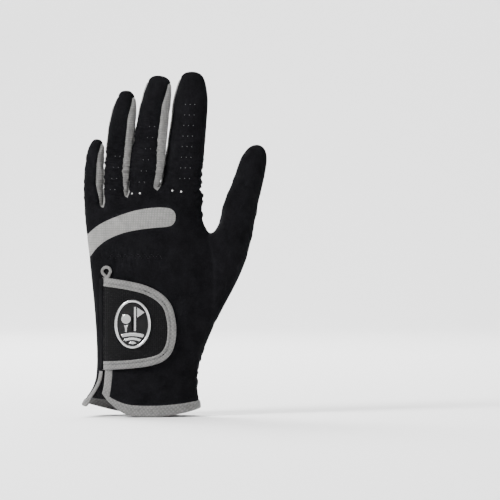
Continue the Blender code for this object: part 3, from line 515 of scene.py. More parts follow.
class Skin:
    """The smoothed cage as arrays in millimetres, with a label for each face."""

    def __init__(self, cage, fineness, slit):
        keys = sorted(set(cage.labels))
        mesh = bpy.data.meshes.new("cage")
        mesh.from_pydata(cage.points, [], cage.faces)
        mesh.polygons.foreach_set("material_index", [keys.index(label) for label in cage.labels])
        obj = bpy.data.objects.new("cage", mesh)
        bpy.context.scene.collection.objects.link(obj)
        smoothing = obj.modifiers.new("Smoothing", "SUBSURF")
        smoothing.levels = smoothing.render_levels = fineness
        fine = obj.evaluated_get(bpy.context.evaluated_depsgraph_get()).to_mesh()
        self.points = np.array([drop_cuff(v.co, slit) for v in fine.vertices])
        self.normals = np.array([v.normal for v in fine.vertices])
        self.faces = [tuple(p.vertices) for p in fine.polygons]
        self.labels = [keys[p.material_index] for p in fine.polygons]
        bpy.data.objects.remove(obj)
        bpy.data.meshes.remove(mesh)
        self.plant()

    def plant(self):
        self.tree = BVHTree.FromPolygons([Vector(p) for p in self.points], self.faces)

    def hit(self, x, z, way):
        """Point and normal of the skin seen from the back (-1) or the palm (1)."""
        found, normal, _, _ = self.tree.ray_cast(Vector((x, way * 200.0, z)), Vector((0.0, -way, 0.0)))
        return found, normal

    def height(self, x, z, way=-1):
        found = self.hit(x, z, way)[0]
        if found is None:
            found = self.tree.find_nearest(Vector((x, way * 15.0, z)))[0]
        return found.y

    def set_in(self, outline, way, source, label):
        """Gives a label to the faces inside an outline and draws their border onto it."""
        outline = np.array(outline)
        quads = np.array(self.faces)
        middles = self.points[quads].mean(axis=1)
        outward = self.normals[quads].sum(axis=1)[:, 1] * way > 0
        crossed = np.zeros(len(quads), bool)
        for a, b in zip(outline, np.roll(outline, -1, axis=0)):
            if a[1] != b[1]:
                spans = (a[1] > middles[:, 2]) != (b[1] > middles[:, 2])
                edge = a[0] + (middles[:, 2] - a[1]) / (b[1] - a[1]) * (b[0] - a[0])
                crossed ^= spans & (middles[:, 0] < edge)
        for k in np.nonzero(crossed & outward)[0]:
            if self.labels[k] in source:
                self.labels[k] = label
        near = {}
        for face, name in zip(self.faces, self.labels):
            for v in face:
                near.setdefault(v, set()).add(name)
        starts, ends = outline, np.roll(outline, -1, axis=0)
        for v, names in near.items():
            if label not in names or len(names) == 1 or not names <= set(source) | {label}:
                continue
            p = self.points[v][[0, 2]]
            span = ends - starts
            share = ((p - starts) * span).sum(axis=1) / np.maximum(1e-9, (span ** 2).sum(axis=1))
            spots = starts + span * np.clip(share, 0, 1)[:, None]
            x, z = spots[np.argmin(((spots - p) ** 2).sum(axis=1))]
            found, normal = self.hit(x, z, way)
            if found is not None and (found - Vector(self.points[v])).length < 3.0:
                self.points[v] = found


def cloth_of(label):
    """The cut piece of cloth that a face belongs to, across the joints."""
    name, part, column = label
    if column in ("left", "right"):
        order = [f[0] for f in FINGERS]
        return f"fork_{order.index(name) + (column == 'right')}"
    if name == "thumb":
        return f"thumb_{column}"
    if part == "hem" or column in ("binding_left", "binding_right"):
        return "tape"
    return column


def border_points(skin, keys):
    """The vertices where two kinds of cloth meet."""
    near = {}
    for face, key in zip(skin.faces, keys):
        for v in face:
            near.setdefault(v, set()).add(key)
    return [v for v, found in near.items() if len(found) > 1]


def open_points(skin):
    """The vertices on the skin's free edges, at the wrist and the slit."""
    uses = {}
    for face in skin.faces:
        for a, b in zip(face, face[1:] + face[:1]):
            uses[frozenset((a, b))] = uses.get(frozenset((a, b)), 0) + 1
    return sorted({v for edge, count in uses.items() if count == 1 for v in edge})


def distance_to(skin, ids):
    tree = KDTree(len(ids))
    for k, v in enumerate(ids):
        tree.insert(Vector(skin.points[v]), k)
    tree.balance()
    return np.array([tree.find(Vector(p))[2] for p in skin.points])


def line_distance(points, line):
    line = np.array(rounded(line, 6))
    flat = points[:, [0, 2]]
    best = np.full(len(flat), 1e9)
    for a, b in zip(line, line[1:]):
        span = b - a
        share = np.clip(((flat - a) @ span) / (span @ span), 0, 1)
        best = np.minimum(best, np.linalg.norm(flat - a - share[:, None] * span, axis=1))
    return best


def relief(skin, seam):
    """How far each vertex stands off the smooth skin: valleys at the seams, folds and furrows."""
    p, n = skin.points, skin.normals
    rise = -0.55 * np.exp(-(seam / 0.85) ** 2) + 0.12 * np.exp(-((seam - 2.2) / 1.2) ** 2)
    for row, (x, z, wide, high, way, across, up, turn, depth) in enumerate(RUMPLES):
        u, w = (p[:, 0] - x) / wide, (p[:, 2] - z) / high
        window = np.clip(1 - u ** 2, 0, 1) * np.clip(1 - w ** 2, 0, 1)
        if way:
            facing = np.clip((way * n[:, 1] + 0.15) / 0.5, 0, 1)
            window = window * facing * facing * (3 - 2 * facing)
        c, s = math.cos(math.radians(turn)), math.sin(math.radians(turn))
        for v in np.nonzero(window > 0.01)[0]:
            dx, dz = p[v, 0] - x, p[v, 2] - z
            q = Vector(((dx * c + dz * s) / across, p[v, 1] / 9.0 + row * 7.3, (dz * c - dx * s) / up))
            fold = noise.noise(q) + 0.35 * noise.noise(q * 2.1)
            rise[v] += 1.8 * depth * window[v] * fold
    for line, way, depth, half in FURROWS:
        facing = np.clip(way * n[:, 1] * 2, 0, 1)
        rise -= depth * facing * np.exp(-(line_distance(p, line) / half) ** 2)
    for k, row in enumerate(FINGERS):
        digit = Digit(row, k)
        for height, depth in zip(digit.creases, (0.45, 0.6)):
            s = digit.share(height)
            centre, tangent = digit.centre(s), digit.tangent(s)
            off = (p - np.array(centre)) @ np.array(tangent)
            beside = np.abs((p[:, 0] - centre.x) / (digit.widths[1] * 1.3)) < 1
            facing = np.clip(n[:, 1] * 2, 0, 1) * beside
            rise -= depth * facing * np.exp(-(off / 1.1) ** 2)
    under_tab = (n[:, 1] < 0) & (np.abs(p[:, 0] + 7) < 27) & (np.abs(p[:, 2] - 59) < 33)
    rise[under_tab] *= 0.35
    return rise


# ---- pieces ----------------------------------------------------------------------------
def add_piece(name, points, faces, materials, picks=None, normals=None):
    mesh = bpy.data.meshes.new(name)
    mesh.from_pydata([Vector(p) * MM for p in points], [], faces)
    for material in materials:
        mesh.materials.append(material)
    if picks is not None:
        mesh.polygons.foreach_set("material_index", picks)
    mesh.polygons.foreach_set("use_smooth", [True] * len(faces))
    if normals is not None:
        mesh.normals_split_custom_set_from_vertices([tuple(n) for n in normals])
    obj = bpy.data.objects.new(name, mesh)
    bpy.context.scene.collection.objects.link(obj)
    return obj


def rim_of(faces):
    """The directed edges that only one face has."""
    sides = {}
    for face in faces:
        for a, b in zip(face, face[1:] + face[:1]):
            sides.setdefault(frozenset((a, b)), []).append((a, b))
    return [found[0] for found in sides.values() if len(found) == 1]


def walled(name, outer, inner, faces, materials, normals=None, marks=None):
    """A closed shell: the outer faces, the inner ones turned round, and a rim where the sheet ends."""
    used = sorted({v for face in faces for v in face})
    place = {v: k for k, v in enumerate(used)}
    count = len(used)
    front = [tuple(place[v] for v in face) for face in faces]
    rear = [tuple(v + count for v in face[::-1]) for face in front]
    rim = [(b, a, a + count, b + count) for a, b in rim_of(front)]
    points = [outer[v] for v in used] + [inner[v] for v in used]
    picks = [0] * len(front) + [len(materials) - 1] * len(rear) + [0] * len(rim)
    if normals is not None:
        normals = [normals[v] for v in used] + [-normals[v] for v in used]
    obj = add_piece(name, points, front + rear + rim, materials, picks, normals)
    if marks is not None:
        attribute = obj.data.attributes.new("seam", "FLOAT", "POINT")
        values = [float(marks[v]) for v in used]
        attribute.data.foreach_set("value", values + values)
    return obj


def laid(name, rows, way, base, thickness, materials, ring=False, puff=0.0):
    """A closed sheet laid over the hand from rows of x and z. base gives its height off the skin."""
    flat = [p for row in rows for p in row]
    n, last = len(rows[0]), len(rows) - 1
    faces = []
    for r in range(last):
        for k in range(n if ring else n - 1):
            a, b = r * n + k, r * n + (k + 1) % n
            face = (a, b, b + n, a + n)
            faces.append(face if way < 0 else face[::-1])
    inner, outer = [], []
    for i, (x, z) in enumerate(flat):
        r, k = divmod(i, n)
        edge = r in (0, last) or (not ring and k in (0, n - 1))
        y, lift = WHOLE.height(x, z, way), base(x, z)
        inner.append((x, y + way * (lift + (puff if edge else 0.0)), z))
        outer.append((x, y + way * (lift + thickness - (puff if edge else 0.0)), z))
    return walled(name, outer, inner, faces, materials)


def swept(name, path, section, lift, materials, ring=False, squeeze=lambda x: 1.0):
    """A closed section carried over the back. path(inset) gives x and z, section holds inset and height."""
    columns = [path(inset) for inset, _ in section]
    n, m = len(columns[0]), len(section)
    points = []
    for line, (_, height) in zip(columns, section):
        for x, z in line:
            points.append((x, WHOLE.height(x, z) - lift(x, z) - height * squeeze(x), z))
    faces = []
    for j in range(m):
        for k in range(n if ring else n - 1):
            a, b = j * n + k, j * n + (k + 1) % n
            c, d = (j + 1) % m * n + (k + 1) % n, (j + 1) % m * n + k
            faces.append((a, b, c, d))
    if not ring:
        faces.append(tuple(j * n for j in range(m)))
        faces.append(tuple(j * n + n - 1 for j in reversed(range(m))))
    obj = add_piece(name, points, faces, materials)
    turn_out(obj)
    return obj


def turn_out(obj):
    """Merges doubles and makes the faces of a closed mesh point outwards."""
    bm = bmesh.new()
    bm.from_mesh(obj.data)
    bmesh.ops.remove_doubles(bm, verts=bm.verts, dist=1e-6)
    bmesh.ops.recalc_face_normals(bm, faces=bm.faces)
    bm.to_mesh(obj.data)
    bm.free()


# ---- materials -------------------------------------------------------------------------
BANDS = 314.16  # a wave's scale for bands one millimetre apart


def linear(code):
    """An sRGB hex colour as linear RGBA."""
    parts = [int(code[k:k + 2], 16) / 255 for k in (1, 3, 5)]
    return (*[c / 12.92 if c <= 0.04045 else ((c + 0.055) / 1.055) ** 2.4 for c in parts], 1.0)


def put(tree, kind, inputs=None, **settings):
    """Adds a node with its settings. inputs holds numbers, or sockets to link."""
    made = tree.nodes.new(kind)
    for name, value in settings.items():
        setattr(made, name, value)
    for key, value in (inputs or {}).items():
        if isinstance(value, bpy.types.NodeSocket):
            tree.links.new(value, made.inputs[key])
        else:
            made.inputs[key].default_value = value
    return made


def start_material(name, **flat):
    """A material with its shader, its tree and the place on the piece."""
    material = bpy.data.materials.new(name)
    material.use_nodes = True
    tree = material.node_tree
    shader = tree.nodes["Principled BSDF"]
    for key, value in flat.items():
        shader.inputs[key.replace("_", " ")].default_value = value
    place = put(tree, "ShaderNodeTexCoord").outputs["Object"]
    return material, tree, shader, place


def shades(tree, share, deep, pale):
    """A colour between a deep and a pale one."""
    made = put(tree, "ShaderNodeMix", {0: share, 6: linear(deep), 7: linear(pale)}, data_type="RGBA")
    return made.outputs[2]


def finish(tree, shader, **looks):
    """Links what the nodes give to the shader's own sockets."""
    for key, socket in looks.items():
        tree.links.new(socket, shader.inputs[key.replace("_", " ")])


def suede(name, deep, pale, sheen, nap_mm=1.1):
    """Synthetic suede: microfibre felt, buffed to a short nap that mottles where it is stroked."""
    material, tree, shader, place = start_material(
        name, Roughness=0.9, IOR=1.45, Specular_IOR_Level=0.03,
        Sheen_Weight=sheen, Sheen_Roughness=0.5, Sheen_Tint=linear("#77777a"))
    strokes = put(tree, "ShaderNodeTexNoise", {
        "Vector": place, "Scale": 1 / 0.011, "Detail": 5.0, "Roughness": 0.62})
    nap = put(tree, "ShaderNodeTexNoise", {"Vector": place, "Scale": 1000 / nap_mm, "Detail": 3.0})
    both = put(tree, "ShaderNodeMix", {0: 0.45, 2: strokes.outputs[0], 3: nap.outputs[0]})
    worn = put(tree, "ShaderNodeAttribute", attribute_name="seam").outputs["Fac"]
    shade = put(tree, "ShaderNodeMapRange", {0: both.outputs[0], 1: 0.32, 2: 0.7})
    rubbed = put(tree, "ShaderNodeMath", {0: worn, 1: 0.3, 2: shade.outputs[0]}, operation="MULTIPLY_ADD",
                 use_clamp=True)
    colour = shades(tree, rubbed.outputs[0], deep, pale)
    bump = put(tree, "ShaderNodeBump", {"Strength": 0.35, "Distance": 0.0004, "Height": nap.outputs[0]})
    finish(tree, shader, Base_Color=colour, Normal=bump.outputs[0])
    return material


def ribbed(name, deep, pale, rib_mm, turn, roughness, bump_mm=0.25, gloss=0.25):
    """Knitted or woven yarn in fine ribs, with a heather of paler and darker yarn."""
    material, tree, shader, place = start_material(
        name, Roughness=roughness, IOR=1.5, Specular_IOR_Level=gloss,
        Sheen_Weight=gloss / 2, Sheen_Roughness=0.5)
    turned = put(tree, "ShaderNodeMapping", {"Vector": place, "Rotation": turn})
    rib, stitch = [
        put(tree, "ShaderNodeTexWave", {
            "Vector": turned.outputs[0], "Scale": BANDS / pitch, "Distortion": 0.6, "Detail": 1.0,
        }, bands_direction=way)
        for pitch, way in ((rib_mm, "X"), (rib_mm * 1.3, "Z"))
    ]
    heather = put(tree, "ShaderNodeTexNoise", {
        "Vector": place, "Scale": 1 / 0.004, "Detail": 6.0, "Roughness": 0.7})
    yarn = put(tree, "ShaderNodeMath", {0: rib.outputs[1], 1: stitch.outputs[1]}, operation="MULTIPLY")
    tone = put(tree, "ShaderNodeMath", {0: yarn.outputs[0], 1: 0.4, 2: heather.outputs[0]},
               operation="MULTIPLY_ADD")
    shade = put(tree, "ShaderNodeMapRange", {0: tone.outputs[0], 1: 0.35, 2: 0.95})
    colour = shades(tree, shade.outputs[0], deep, pale)
    bump = put(tree, "ShaderNodeBump", {"Strength": 0.5, "Distance": bump_mm * MM, "Height": yarn.outputs[0]})
    finish(tree, shader, Base_Color=colour, Normal=bump.outputs[0])
    return material


def woven_mesh(name):
    """Polyester in a square weave, like carbon cloth: 1.3 mm ends, glossier on the raised ones. A painted
    sheen lightens its colour towards +x.
    """
    material, tree, shader, place = start_material(
        name, IOR=1.5, Specular_IOR_Level=0.07)
    over, under = [
        put(tree, "ShaderNodeTexWave", {"Vector": place, "Scale": BANDS / 1.3}, bands_direction=way)
        for way in ("X", "Z")
    ]
    check = put(tree, "ShaderNodeTexChecker", {"Vector": place, "Scale": 1000 / 1.3})
    weave = put(tree, "ShaderNodeMix", {0: check.outputs[1], 2: over.outputs[1], 3: under.outputs[1]})
    side = put(tree, "ShaderNodeSeparateXYZ", {0: place})
    # painted sheen: the colour grows lighter from x = -24 mm to x = +12 mm in the piece's own frame
    painted_sheen = put(tree, "ShaderNodeMapRange", {0: side.outputs[0], 1: -0.024, 2: 0.012, 3: 0.0, 4: 0.25})
    cloud = put(tree, "ShaderNodeTexNoise", {"Vector": place, "Scale": 1 / 0.009, "Detail": 4.0})
    tone = put(tree, "ShaderNodeMath", {0: weave.outputs[0], 1: 0.55, 2: painted_sheen.outputs[0]},
               operation="MULTIPLY_ADD")
    tone = put(tree, "ShaderNodeMath", {0: cloud.outputs[0], 1: 0.25, 2: tone.outputs[0]},
               operation="MULTIPLY_ADD")
    colour = shades(tree, tone.outputs[0], "#010102", "#0b0b0c")
    gloss = put(tree, "ShaderNodeMapRange", {0: weave.outputs[0], 3: 0.75, 4: 0.45})
    bump = put(tree, "ShaderNodeBump", {"Strength": 0.6, "Distance": 0.0003, "Height": weave.outputs[0]})
    finish(tree, shader, Base_Color=colour, Roughness=gloss.outputs[0], Normal=bump.outputs[0])
    return material


def moulded(name, deep, pale, metallic, low, high, level=0.5):
    """Moulded thermoplastic: a satin skin with a fine grain, silvered by a vacuum coat where metallic."""
    material, tree, shader, place = start_material(name, Metallic=metallic, IOR=1.5, Specular_IOR_Level=level)
    grain = put(tree, "ShaderNodeTexNoise", {"Vector": place, "Scale": 1 / 0.0012, "Detail": 4.0})
    cloud = put(tree, "ShaderNodeTexNoise", {"Vector": place, "Scale": 1 / 0.006, "Detail": 3.0})
    colour = shades(tree, cloud.outputs[0], deep, pale)
    gloss = put(tree, "ShaderNodeMapRange", {0: grain.outputs[0], 3: low, 4: high})
    bump = put(tree, "ShaderNodeBump", {"Strength": 0.15, "Distance": 0.0002, "Height": grain.outputs[0]})
    finish(tree, shader, Base_Color=colour, Roughness=gloss.outputs[0], Normal=bump.outputs[0])
    return material


def piled(name, deep, pale, spot_mm, roughness):
    """A pile of loops or hooks, or a brushed fleece: bumpy dots that hold the dark between them."""
    material, tree, shader, place = start_material(
        name, Roughness=roughness, IOR=1.5, Specular_IOR_Level=0.08, Sheen_Weight=0.04, Sheen_Roughness=0.6)
    dots = put(tree, "ShaderNodeTexVoronoi", {"Vector": place, "Scale": 1000 / spot_mm})
    cloud = put(tree, "ShaderNodeTexNoise", {"Vector": place, "Scale": 1 / 0.005, "Detail": 4.0})
    tone = put(tree, "ShaderNodeMath", {0: dots.outputs[0], 1: 0.8, 2: cloud.outputs[0]},
               operation="MULTIPLY_ADD")
    shade = put(tree, "ShaderNodeMapRange", {0: tone.outputs[0], 1: 0.4, 2: 1.2, 3: 1.0, 4: 0.0})
    colour = shades(tree, shade.outputs[0], deep, pale)
    bump = put(tree, "ShaderNodeBump", {"Strength": 0.8, "Distance": 0.0005, "Height": shade.outputs[0]})
    finish(tree, shader, Base_Color=colour, Normal=bump.outputs[0])
    return material


# Synthetic suede is matt and drinks the light; only its nap lifts the grazed edges a little.
SUEDE_BACK = suede("suede_black", "#050506", "#111113", 0.012)
SUEDE_PALM = suede("suede_black_palm", "#080809", "#151517", 0.016)
# The stretch knit of the forks and the knuckle strip reads as flat pale grey with faint ribs,
# drawn at 1.2 mm, twice their real width, to show.
KNIT = ribbed("polyester_knit_grey", "#5a5a59", "#797876", 1.2, (0.0, 0.0, 0.8), 0.85)
# Folded binding tape has a tight twill, drawn at 1.4 mm, about twice its real pitch.
TAPE = ribbed("twill_tape_grey", "#4c4c4b", "#6a6968", 1.4, (0.0, 0.7, 0.6), 0.75, 0.2)
MESH_CLOTH = woven_mesh("woven_polyester_charcoal")
SILVERED = moulded("silvered_abs", "#989999", "#c0c1c1", 0.95, 0.18, 0.32)
GROUND = moulded("abs_dark_grey", "#070708", "#101011", 0.0, 0.4, 0.6, 0.12)
# Polyester sewing thread: tight twist, a little gloss on each lay.
THREAD_BLACK = ribbed("polyester_thread_black", "#050506", "#0e0e10", 0.5, (0.0, 0.5, 0.5), 0.5, gloss=0.05)
THREAD_GREY = ribbed("polyester_thread_grey", "#38383a", "#4a4a4b", 0.5, (0.0, 0.5, 0.5), 0.5)
THREAD_PALE = ribbed("polyester_thread_pale", "#a9a9a8", "#c8c8c7", 0.5, (0.0, 0.5, 0.5), 0.5)
LINING = piled("brushed_tricot_charcoal", "#1a1a1c", "#333336", 1.2, 0.95)
HOOKS = piled("nylon_hook_tape_black", "#050506", "#1d1d1f", 1.4, 0.6)
LOOPS = piled("nylon_loop_pile_black", "#070708", "#19191b", 0.9, 0.95)
ELASTIC = ribbed("woven_elastic_black", "#08080a", "#161618", 1.1, (0.0, 0.0, 0.4), 0.8, gloss=0.05)

# ---- the hand and the digits -----------------------------------------------------------
SKIN = Skin(build_cage(), FINENESS, True)
WHOLE = Skin(build_cage(slit_top=-1.0), 2, False)


def strip_outline():
    rows = rounded(KNUCKLE_STRIP, 6)
    upper, lower = [], []
    for k, row in enumerate(rows):
        ahead = rows[min(k + 1, len(rows) - 1)] - rows[max(k - 1, 0)]
        ahead = ahead[:2] / np.linalg.norm(ahead[:2])
        normal = np.array((-ahead[1], ahead[0]))
        upper.append(row[:2] + normal * row[2])
        lower.append(row[:2] - normal * row[2])
    return lower + upper[::-1]


SKIN.set_in(rounded(THUMB_SEAM, 6), 1, [("hand", "root", "palm")], ("thumb", "root", "palm"))
SKIN.set_in(strip_outline(), -1, [("hand", "root", "back")], ("hand", "root", "strip"))
for k, (face, label) in enumerate(zip(SKIN.faces, SKIN.labels)):
    height = SKIN.points[list(face)].mean(axis=0)[2]
    if height > {"binding_left": 27.0, "binding_right": 84.0}.get(label[2], 1e3):
        SKIN.labels[k] = ("hand", "root", "back")

CLOTHS = [cloth_of(label) for label in SKIN.labels]
FREE = open_points(SKIN)
SEAM = distance_to(SKIN, border_points(SKIN, CLOTHS) + FREE)
RISE = relief(SKIN, SEAM)
IS_TAPE = np.zeros(len(SKIN.points), bool)
for face, cloth in zip(SKIN.faces, CLOTHS):
    if cloth == "tape":
        IS_TAPE[list(face)] = True
PUFF = 0.65 * np.sqrt(1 - (1 - np.clip(SEAM / 1.4, 0, 1)) ** 2)
RISE[IS_TAPE] = PUFF[IS_TAPE]
OUTER = SKIN.points + SKIN.normals * RISE[:, None]
INNER = OUTER - SKIN.normals * np.where(IS_TAPE, 0.8 + 1.5 * PUFF, WALL)[:, None]


def shaded_normals(points, faces):
    mesh = bpy.data.meshes.new("shading")
    mesh.from_pydata([Vector(p) for p in points], [], faces)
    found = np.array([v.normal for v in mesh.vertices])
    bpy.data.meshes.remove(mesh)
    return found


NORMALS = shaded_normals(OUTER, SKIN.faces)
MARKS = np.exp(-(SEAM / 1.6) ** 2)
DRAPED = BVHTree.FromPolygons([Vector(p) for p in OUTER], SKIN.faces)


def skin_piece(name, labels, materials):
    faces = [face for face, label in zip(SKIN.faces, SKIN.labels) if label in labels]
    return walled(name, OUTER, INNER, faces, materials, NORMALS, MARKS)


def enter(node):
    """Hides the frame node that a piece stands for."""
    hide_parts(node)


FINGER_NAMES = [row[0] for row in FINGERS]
still = [
    ("back_of_hand", {("hand", "root", "back")} | {(n, "root", "back") for n in FINGER_NAMES},
     [SUEDE_BACK, LINING], "black_suede", "back_panel"),
    ("palm_of_hand", {("hand", "root", "palm")} | {(n, "root", "palm") for n in FINGER_NAMES},
     [SUEDE_PALM, LINING], "black_suede", "palm_panel"),
    ("knuckle_inset", {("hand", "root", "strip")}, [KNIT], "grey_knit", "knuckle_strip"),
    ("thumb_gusset_back", {("thumb", "root", "back")}, [SUEDE_BACK, LINING],
     "black_suede", "thumb_base_back"),
    ("thumb_gusset_palm", {("thumb", "root", "palm")}, [SUEDE_PALM, LINING],
     "black_suede", "thumb_base_palm"),
    ("hem_tape", {label for label in SKIN.labels if label[1] == "hem"}, [TAPE], "grey_tape", "hem_binding"),
    ("slit_tape_left", {("hand", "root", "binding_left")}, [TAPE], "grey_tape", "slit_binding_left"),
    ("slit_tape_right", {("hand", "root", "binding_right")}, [TAPE], "grey_tape", "slit_binding_right"),
]
for a, b in zip(FINGER_NAMES, FINGER_NAMES[1:]):
    still.append((f"web_knit_{a}_{b}", {(a, "root", "right"), (b, "root", "left")}, [KNIT], "grey_knit",
                  f"web_{a}_{b}"))
for name, labels, materials, slot, node in still:
    piece = skin_piece(name, labels, materials)
    enter(node)
    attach(piece, "hand")


def add_digit(name, tangents, reaches):
    """The near and far cloth of a digit, cut apart between its root and its knuckle."""
    for part, body, parent, joint, tangent, reach in zip(
            ("near", "far"), ("lower", "upper"), ("hand", f"{name}_lower"),
            JOINT_NAMES[name], tangents, reaches):
        for label in sorted({label for label in SKIN.labels if label[:2] == (name, part)}):
            side = {"left": "fork_little", "right": "fork_thumb"}.get(label[2], label[2])
            knit = "fork" in side
            materials = [KNIT] if knit else [SUEDE_PALM if side == "palm" else SUEDE_BACK, LINING]
            piece = skin_piece(f"{name}_{side}_{part}", {label}, materials)
            enter(f"{name}_{body}_{side}")
            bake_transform(piece)


JOINT_NAMES = {name: (f"{name}_root_bend", f"{name}_knuckle_bend") for name in FINGER_NAMES}
JOINT_NAMES["thumb"] = ("thumb_root_bend", "thumb_tip_bend")
for k, row in enumerate(FINGERS):
    digit = Digit(row, k)
    tangents = [digit.tangent(digit.share(height)) for height in digit.creases]
    add_digit(digit.name, tangents, (digit.creases[0] - WEB_CUT - ROOT_REACH, KNUCKLE_REACH))
stations = thumb_stations()
add_digit("thumb", [stations[5][1], stations[9][1]], (THUMB_REACH, THUMB_REACH))


# ---- the closure tab -------------------------------------------------------------------
def tab_edge(inset, fineness=8):
    """The tab's edge from its lower sewn corner round to the upper one, drawn in by an inset."""
    corners = [(TAB_LEFT + x * TAB_LENGTH, TAB_LOW + z * TAB_HEIGHT) for x, z in TAB_EDGE]
    moved = offset(rounded(corners, fineness), inset)
    moved[0][0] = moved[-1][0] = TAB_LEFT
    return moved


TAB_OUTLINE = np.array(tab_edge(0.0))


def tab_lift(x, z):
    """How far the tab's underside stands off the skin: down at its seam and its free edge."""
    from_seam = x - TAB_LEFT
    from_edge = np.linalg.norm(TAB_OUTLINE - (x, z), axis=1).min()
    full = mix(1.1, 2.3, ease(from_edge / 9.0))
    return mix(0.55, full, ease((from_seam + 2.2) / 7.0))


def pressed(x):
    """The tab's layers lie flatter where they are sewn down."""
    return mix(0.5, 1.0, ease((x - TAB_LEFT) / 5.0))


def tab_sheet(name, inset, lift, thickness, materials, rings=14):
    """A D-shaped sheet from its middle to its edge."""
    edge = tab_edge(inset)
    low, high = edge[0], edge[-1]
    sewn = [np.array((TAB_LEFT - 0.4, mix(high[1], low[1], k / 24))) for k in range(25)]
    outline = np.array(edge + sewn)
    centre = np.array((TAB_LEFT + TAB_LENGTH * 0.42, TAB_LOW + TAB_HEIGHT * 0.48))
    n = len(outline)
    flat = [centre]
    for ring in range(1, rings + 1):
        flat += list(centre + (outline - centre) * (ring / rings))
    faces = [(0, 1 + k, 1 + (k + 1) % n) for k in range(n)]
    for ring in range(rings - 1):
        for k in range(n):
            a, b = 1 + ring * n + k, 1 + ring * n + (k + 1) % n
            faces.append((a, a + n, b + n, b))
    inner, outer = [], []
    for x, z in flat:
        wave = 0.3 * noise.noise(Vector((x / 9.0, 3.0, z / 11.0))) * ease((x - TAB_LEFT - 2.0) / 10.0)
        y = WHOLE.height(x, z) - tab_lift(x, z) - wave
        inner.append((x, y - lift * pressed(x), z))
        outer.append((x, y - (lift + thickness) * pressed(x), z))
    return walled(name, outer, inner, faces, materials)


TAPE_SECTION = (
    (0.0, 0.9), (0.12, 1.4), (0.5, 1.85), (1.3, 2.1), (2.4, 2.05), (3.0, 1.95), (3.25, 1.75), (3.5, 1.62),
    (3.75, 1.75), (4.0, 1.95), (4.7, 2.05), (5.4, 1.95), (5.75, 1.7), (5.8, 1.3), (5.8, 0.1), (5.4, -0.35),
    (3.0, -0.5), (0.7, -0.3), (0.15, 0.3),
)


def bend_with_tab(obj):
    """Bakes a piece of the tab's transform into its mesh."""
    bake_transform(obj)


tab_cloth = tab_sheet("tab_mesh_cloth", 1.2, 0.95, 0.7, [MESH_CLOTH, MESH_CLOTH])
tab_backing = tab_sheet("tab_backing", 1.2, 0.25, 0.6, [SUEDE_BACK])
tab_tape = swept("tab_tape", tab_edge, TAPE_SECTION, tab_lift, [TAPE], squeeze=pressed)
for piece, node, slot in (
        (tab_cloth, "tab_face", "charcoal_mesh"), (tab_backing, "tab_lining", "black_suede"),
        (tab_tape, "tab_binding", "grey_tape")):
    enter(node)
    bend_with_tab(piece)


def patch_rows(centre, size, corner=4.0, rows=24, columns=14):
    """Rows over a rectangle with rounded corners."""
    found = []
    for r in range(rows + 1):
        z = -size[1] / 2 * math.cos(math.pi * r / rows)
        past = max(0.0, abs(z) - (size[1] / 2 - corner))
        half = size[0] / 2 - corner + math.sqrt(max(0.0, corner ** 2 - past ** 2))
        found.append([(centre[0] + half * (2 * k / columns - 1), centre[1] + z) for k in range(columns + 1)])
    return found


def band_rows(x0, x1, z, width, rows=5, columns=44):
    return [[(mix(x0, x1, k / columns), z + width * (r / rows - 0.5)) for k in range(columns + 1)]
            for r in range(rows + 1)]


loop_patch = laid("loop_pile_patch", patch_rows(PATCH_PLACE, (26.0, 42.0)), -1,
                  lambda x, z: 0.3, 0.7, [LOOPS], puff=0.2)
hook_patch = laid("hook_tape_patch", patch_rows(PATCH_PLACE, (25.0, 38.0)), -1,
                  lambda x, z: tab_lift(x, z) - 0.75, 0.8, [HOOKS], puff=0.2)
anchor_rows = [[(TAB_LEFT - 2.4 + 3.0 * c / 6, TAB_LOW + 0.4 + (TAB_HEIGHT - 0.8) * r / 48) for c in range(7)]
               for r in range(49)]
anchor = laid("tab_seam_tape", anchor_rows, -1,
              lambda x, z: mix(0.1, 1.75, ease((x - TAB_LEFT + 2.4) / 2.0)), 0.5, [SUEDE_BACK], puff=0.15)
wrist_band = laid("wrist_elastic_band", band_rows(-25.0, 25.0, 33.0, 6.0), 1,
                  lambda x, z: -3.0 + 0.25 * math.sin(x * 2.1), 0.7, [ELASTIC], puff=0.15)
back_band = laid("back_elastic_band", band_rows(-30.0, 10.0, 104.0, 6.0), -1,
                 lambda x, z: -3.0 + 0.25 * math.sin(x * 2.1), 0.7, [ELASTIC], puff=0.15)
for piece, body, node, slot in (
        (loop_patch, "hand", "loop_patch", "hook_and_loop"),
        (hook_patch, "tab", "hook_patch", "hook_and_loop"),
        (anchor, "hand", "tab_anchor", "black_suede"), (wrist_band, "hand", "wrist_elastic", "elastic_band"),
        (back_band, "hand", "back_elastic", "elastic_band")):
    enter(node)
    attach(piece, body)


# ---- the badge -------------------------------------------------------------------------
def oval_path(inset, count=72):
    turns = [2 * math.pi * k / count for k in range(count)]
    return [(BADGE_PLACE[0] + (BADGE_SIZE[0] / 2 - inset) * math.cos(t),
             BADGE_PLACE[1] + (BADGE_SIZE[1] / 2 - inset) * math.sin(t)) for t in turns]


def badge_lift(x, z):
    return tab_lift(x, z) + 1.6


def arc(x, z, radius, start, end, count=16):
    turns = [math.radians(mix(start, end, k / count)) for k in range(count + 1)]
    return [(x + radius * math.cos(t), z + radius * math.sin(t)) for t in turns]


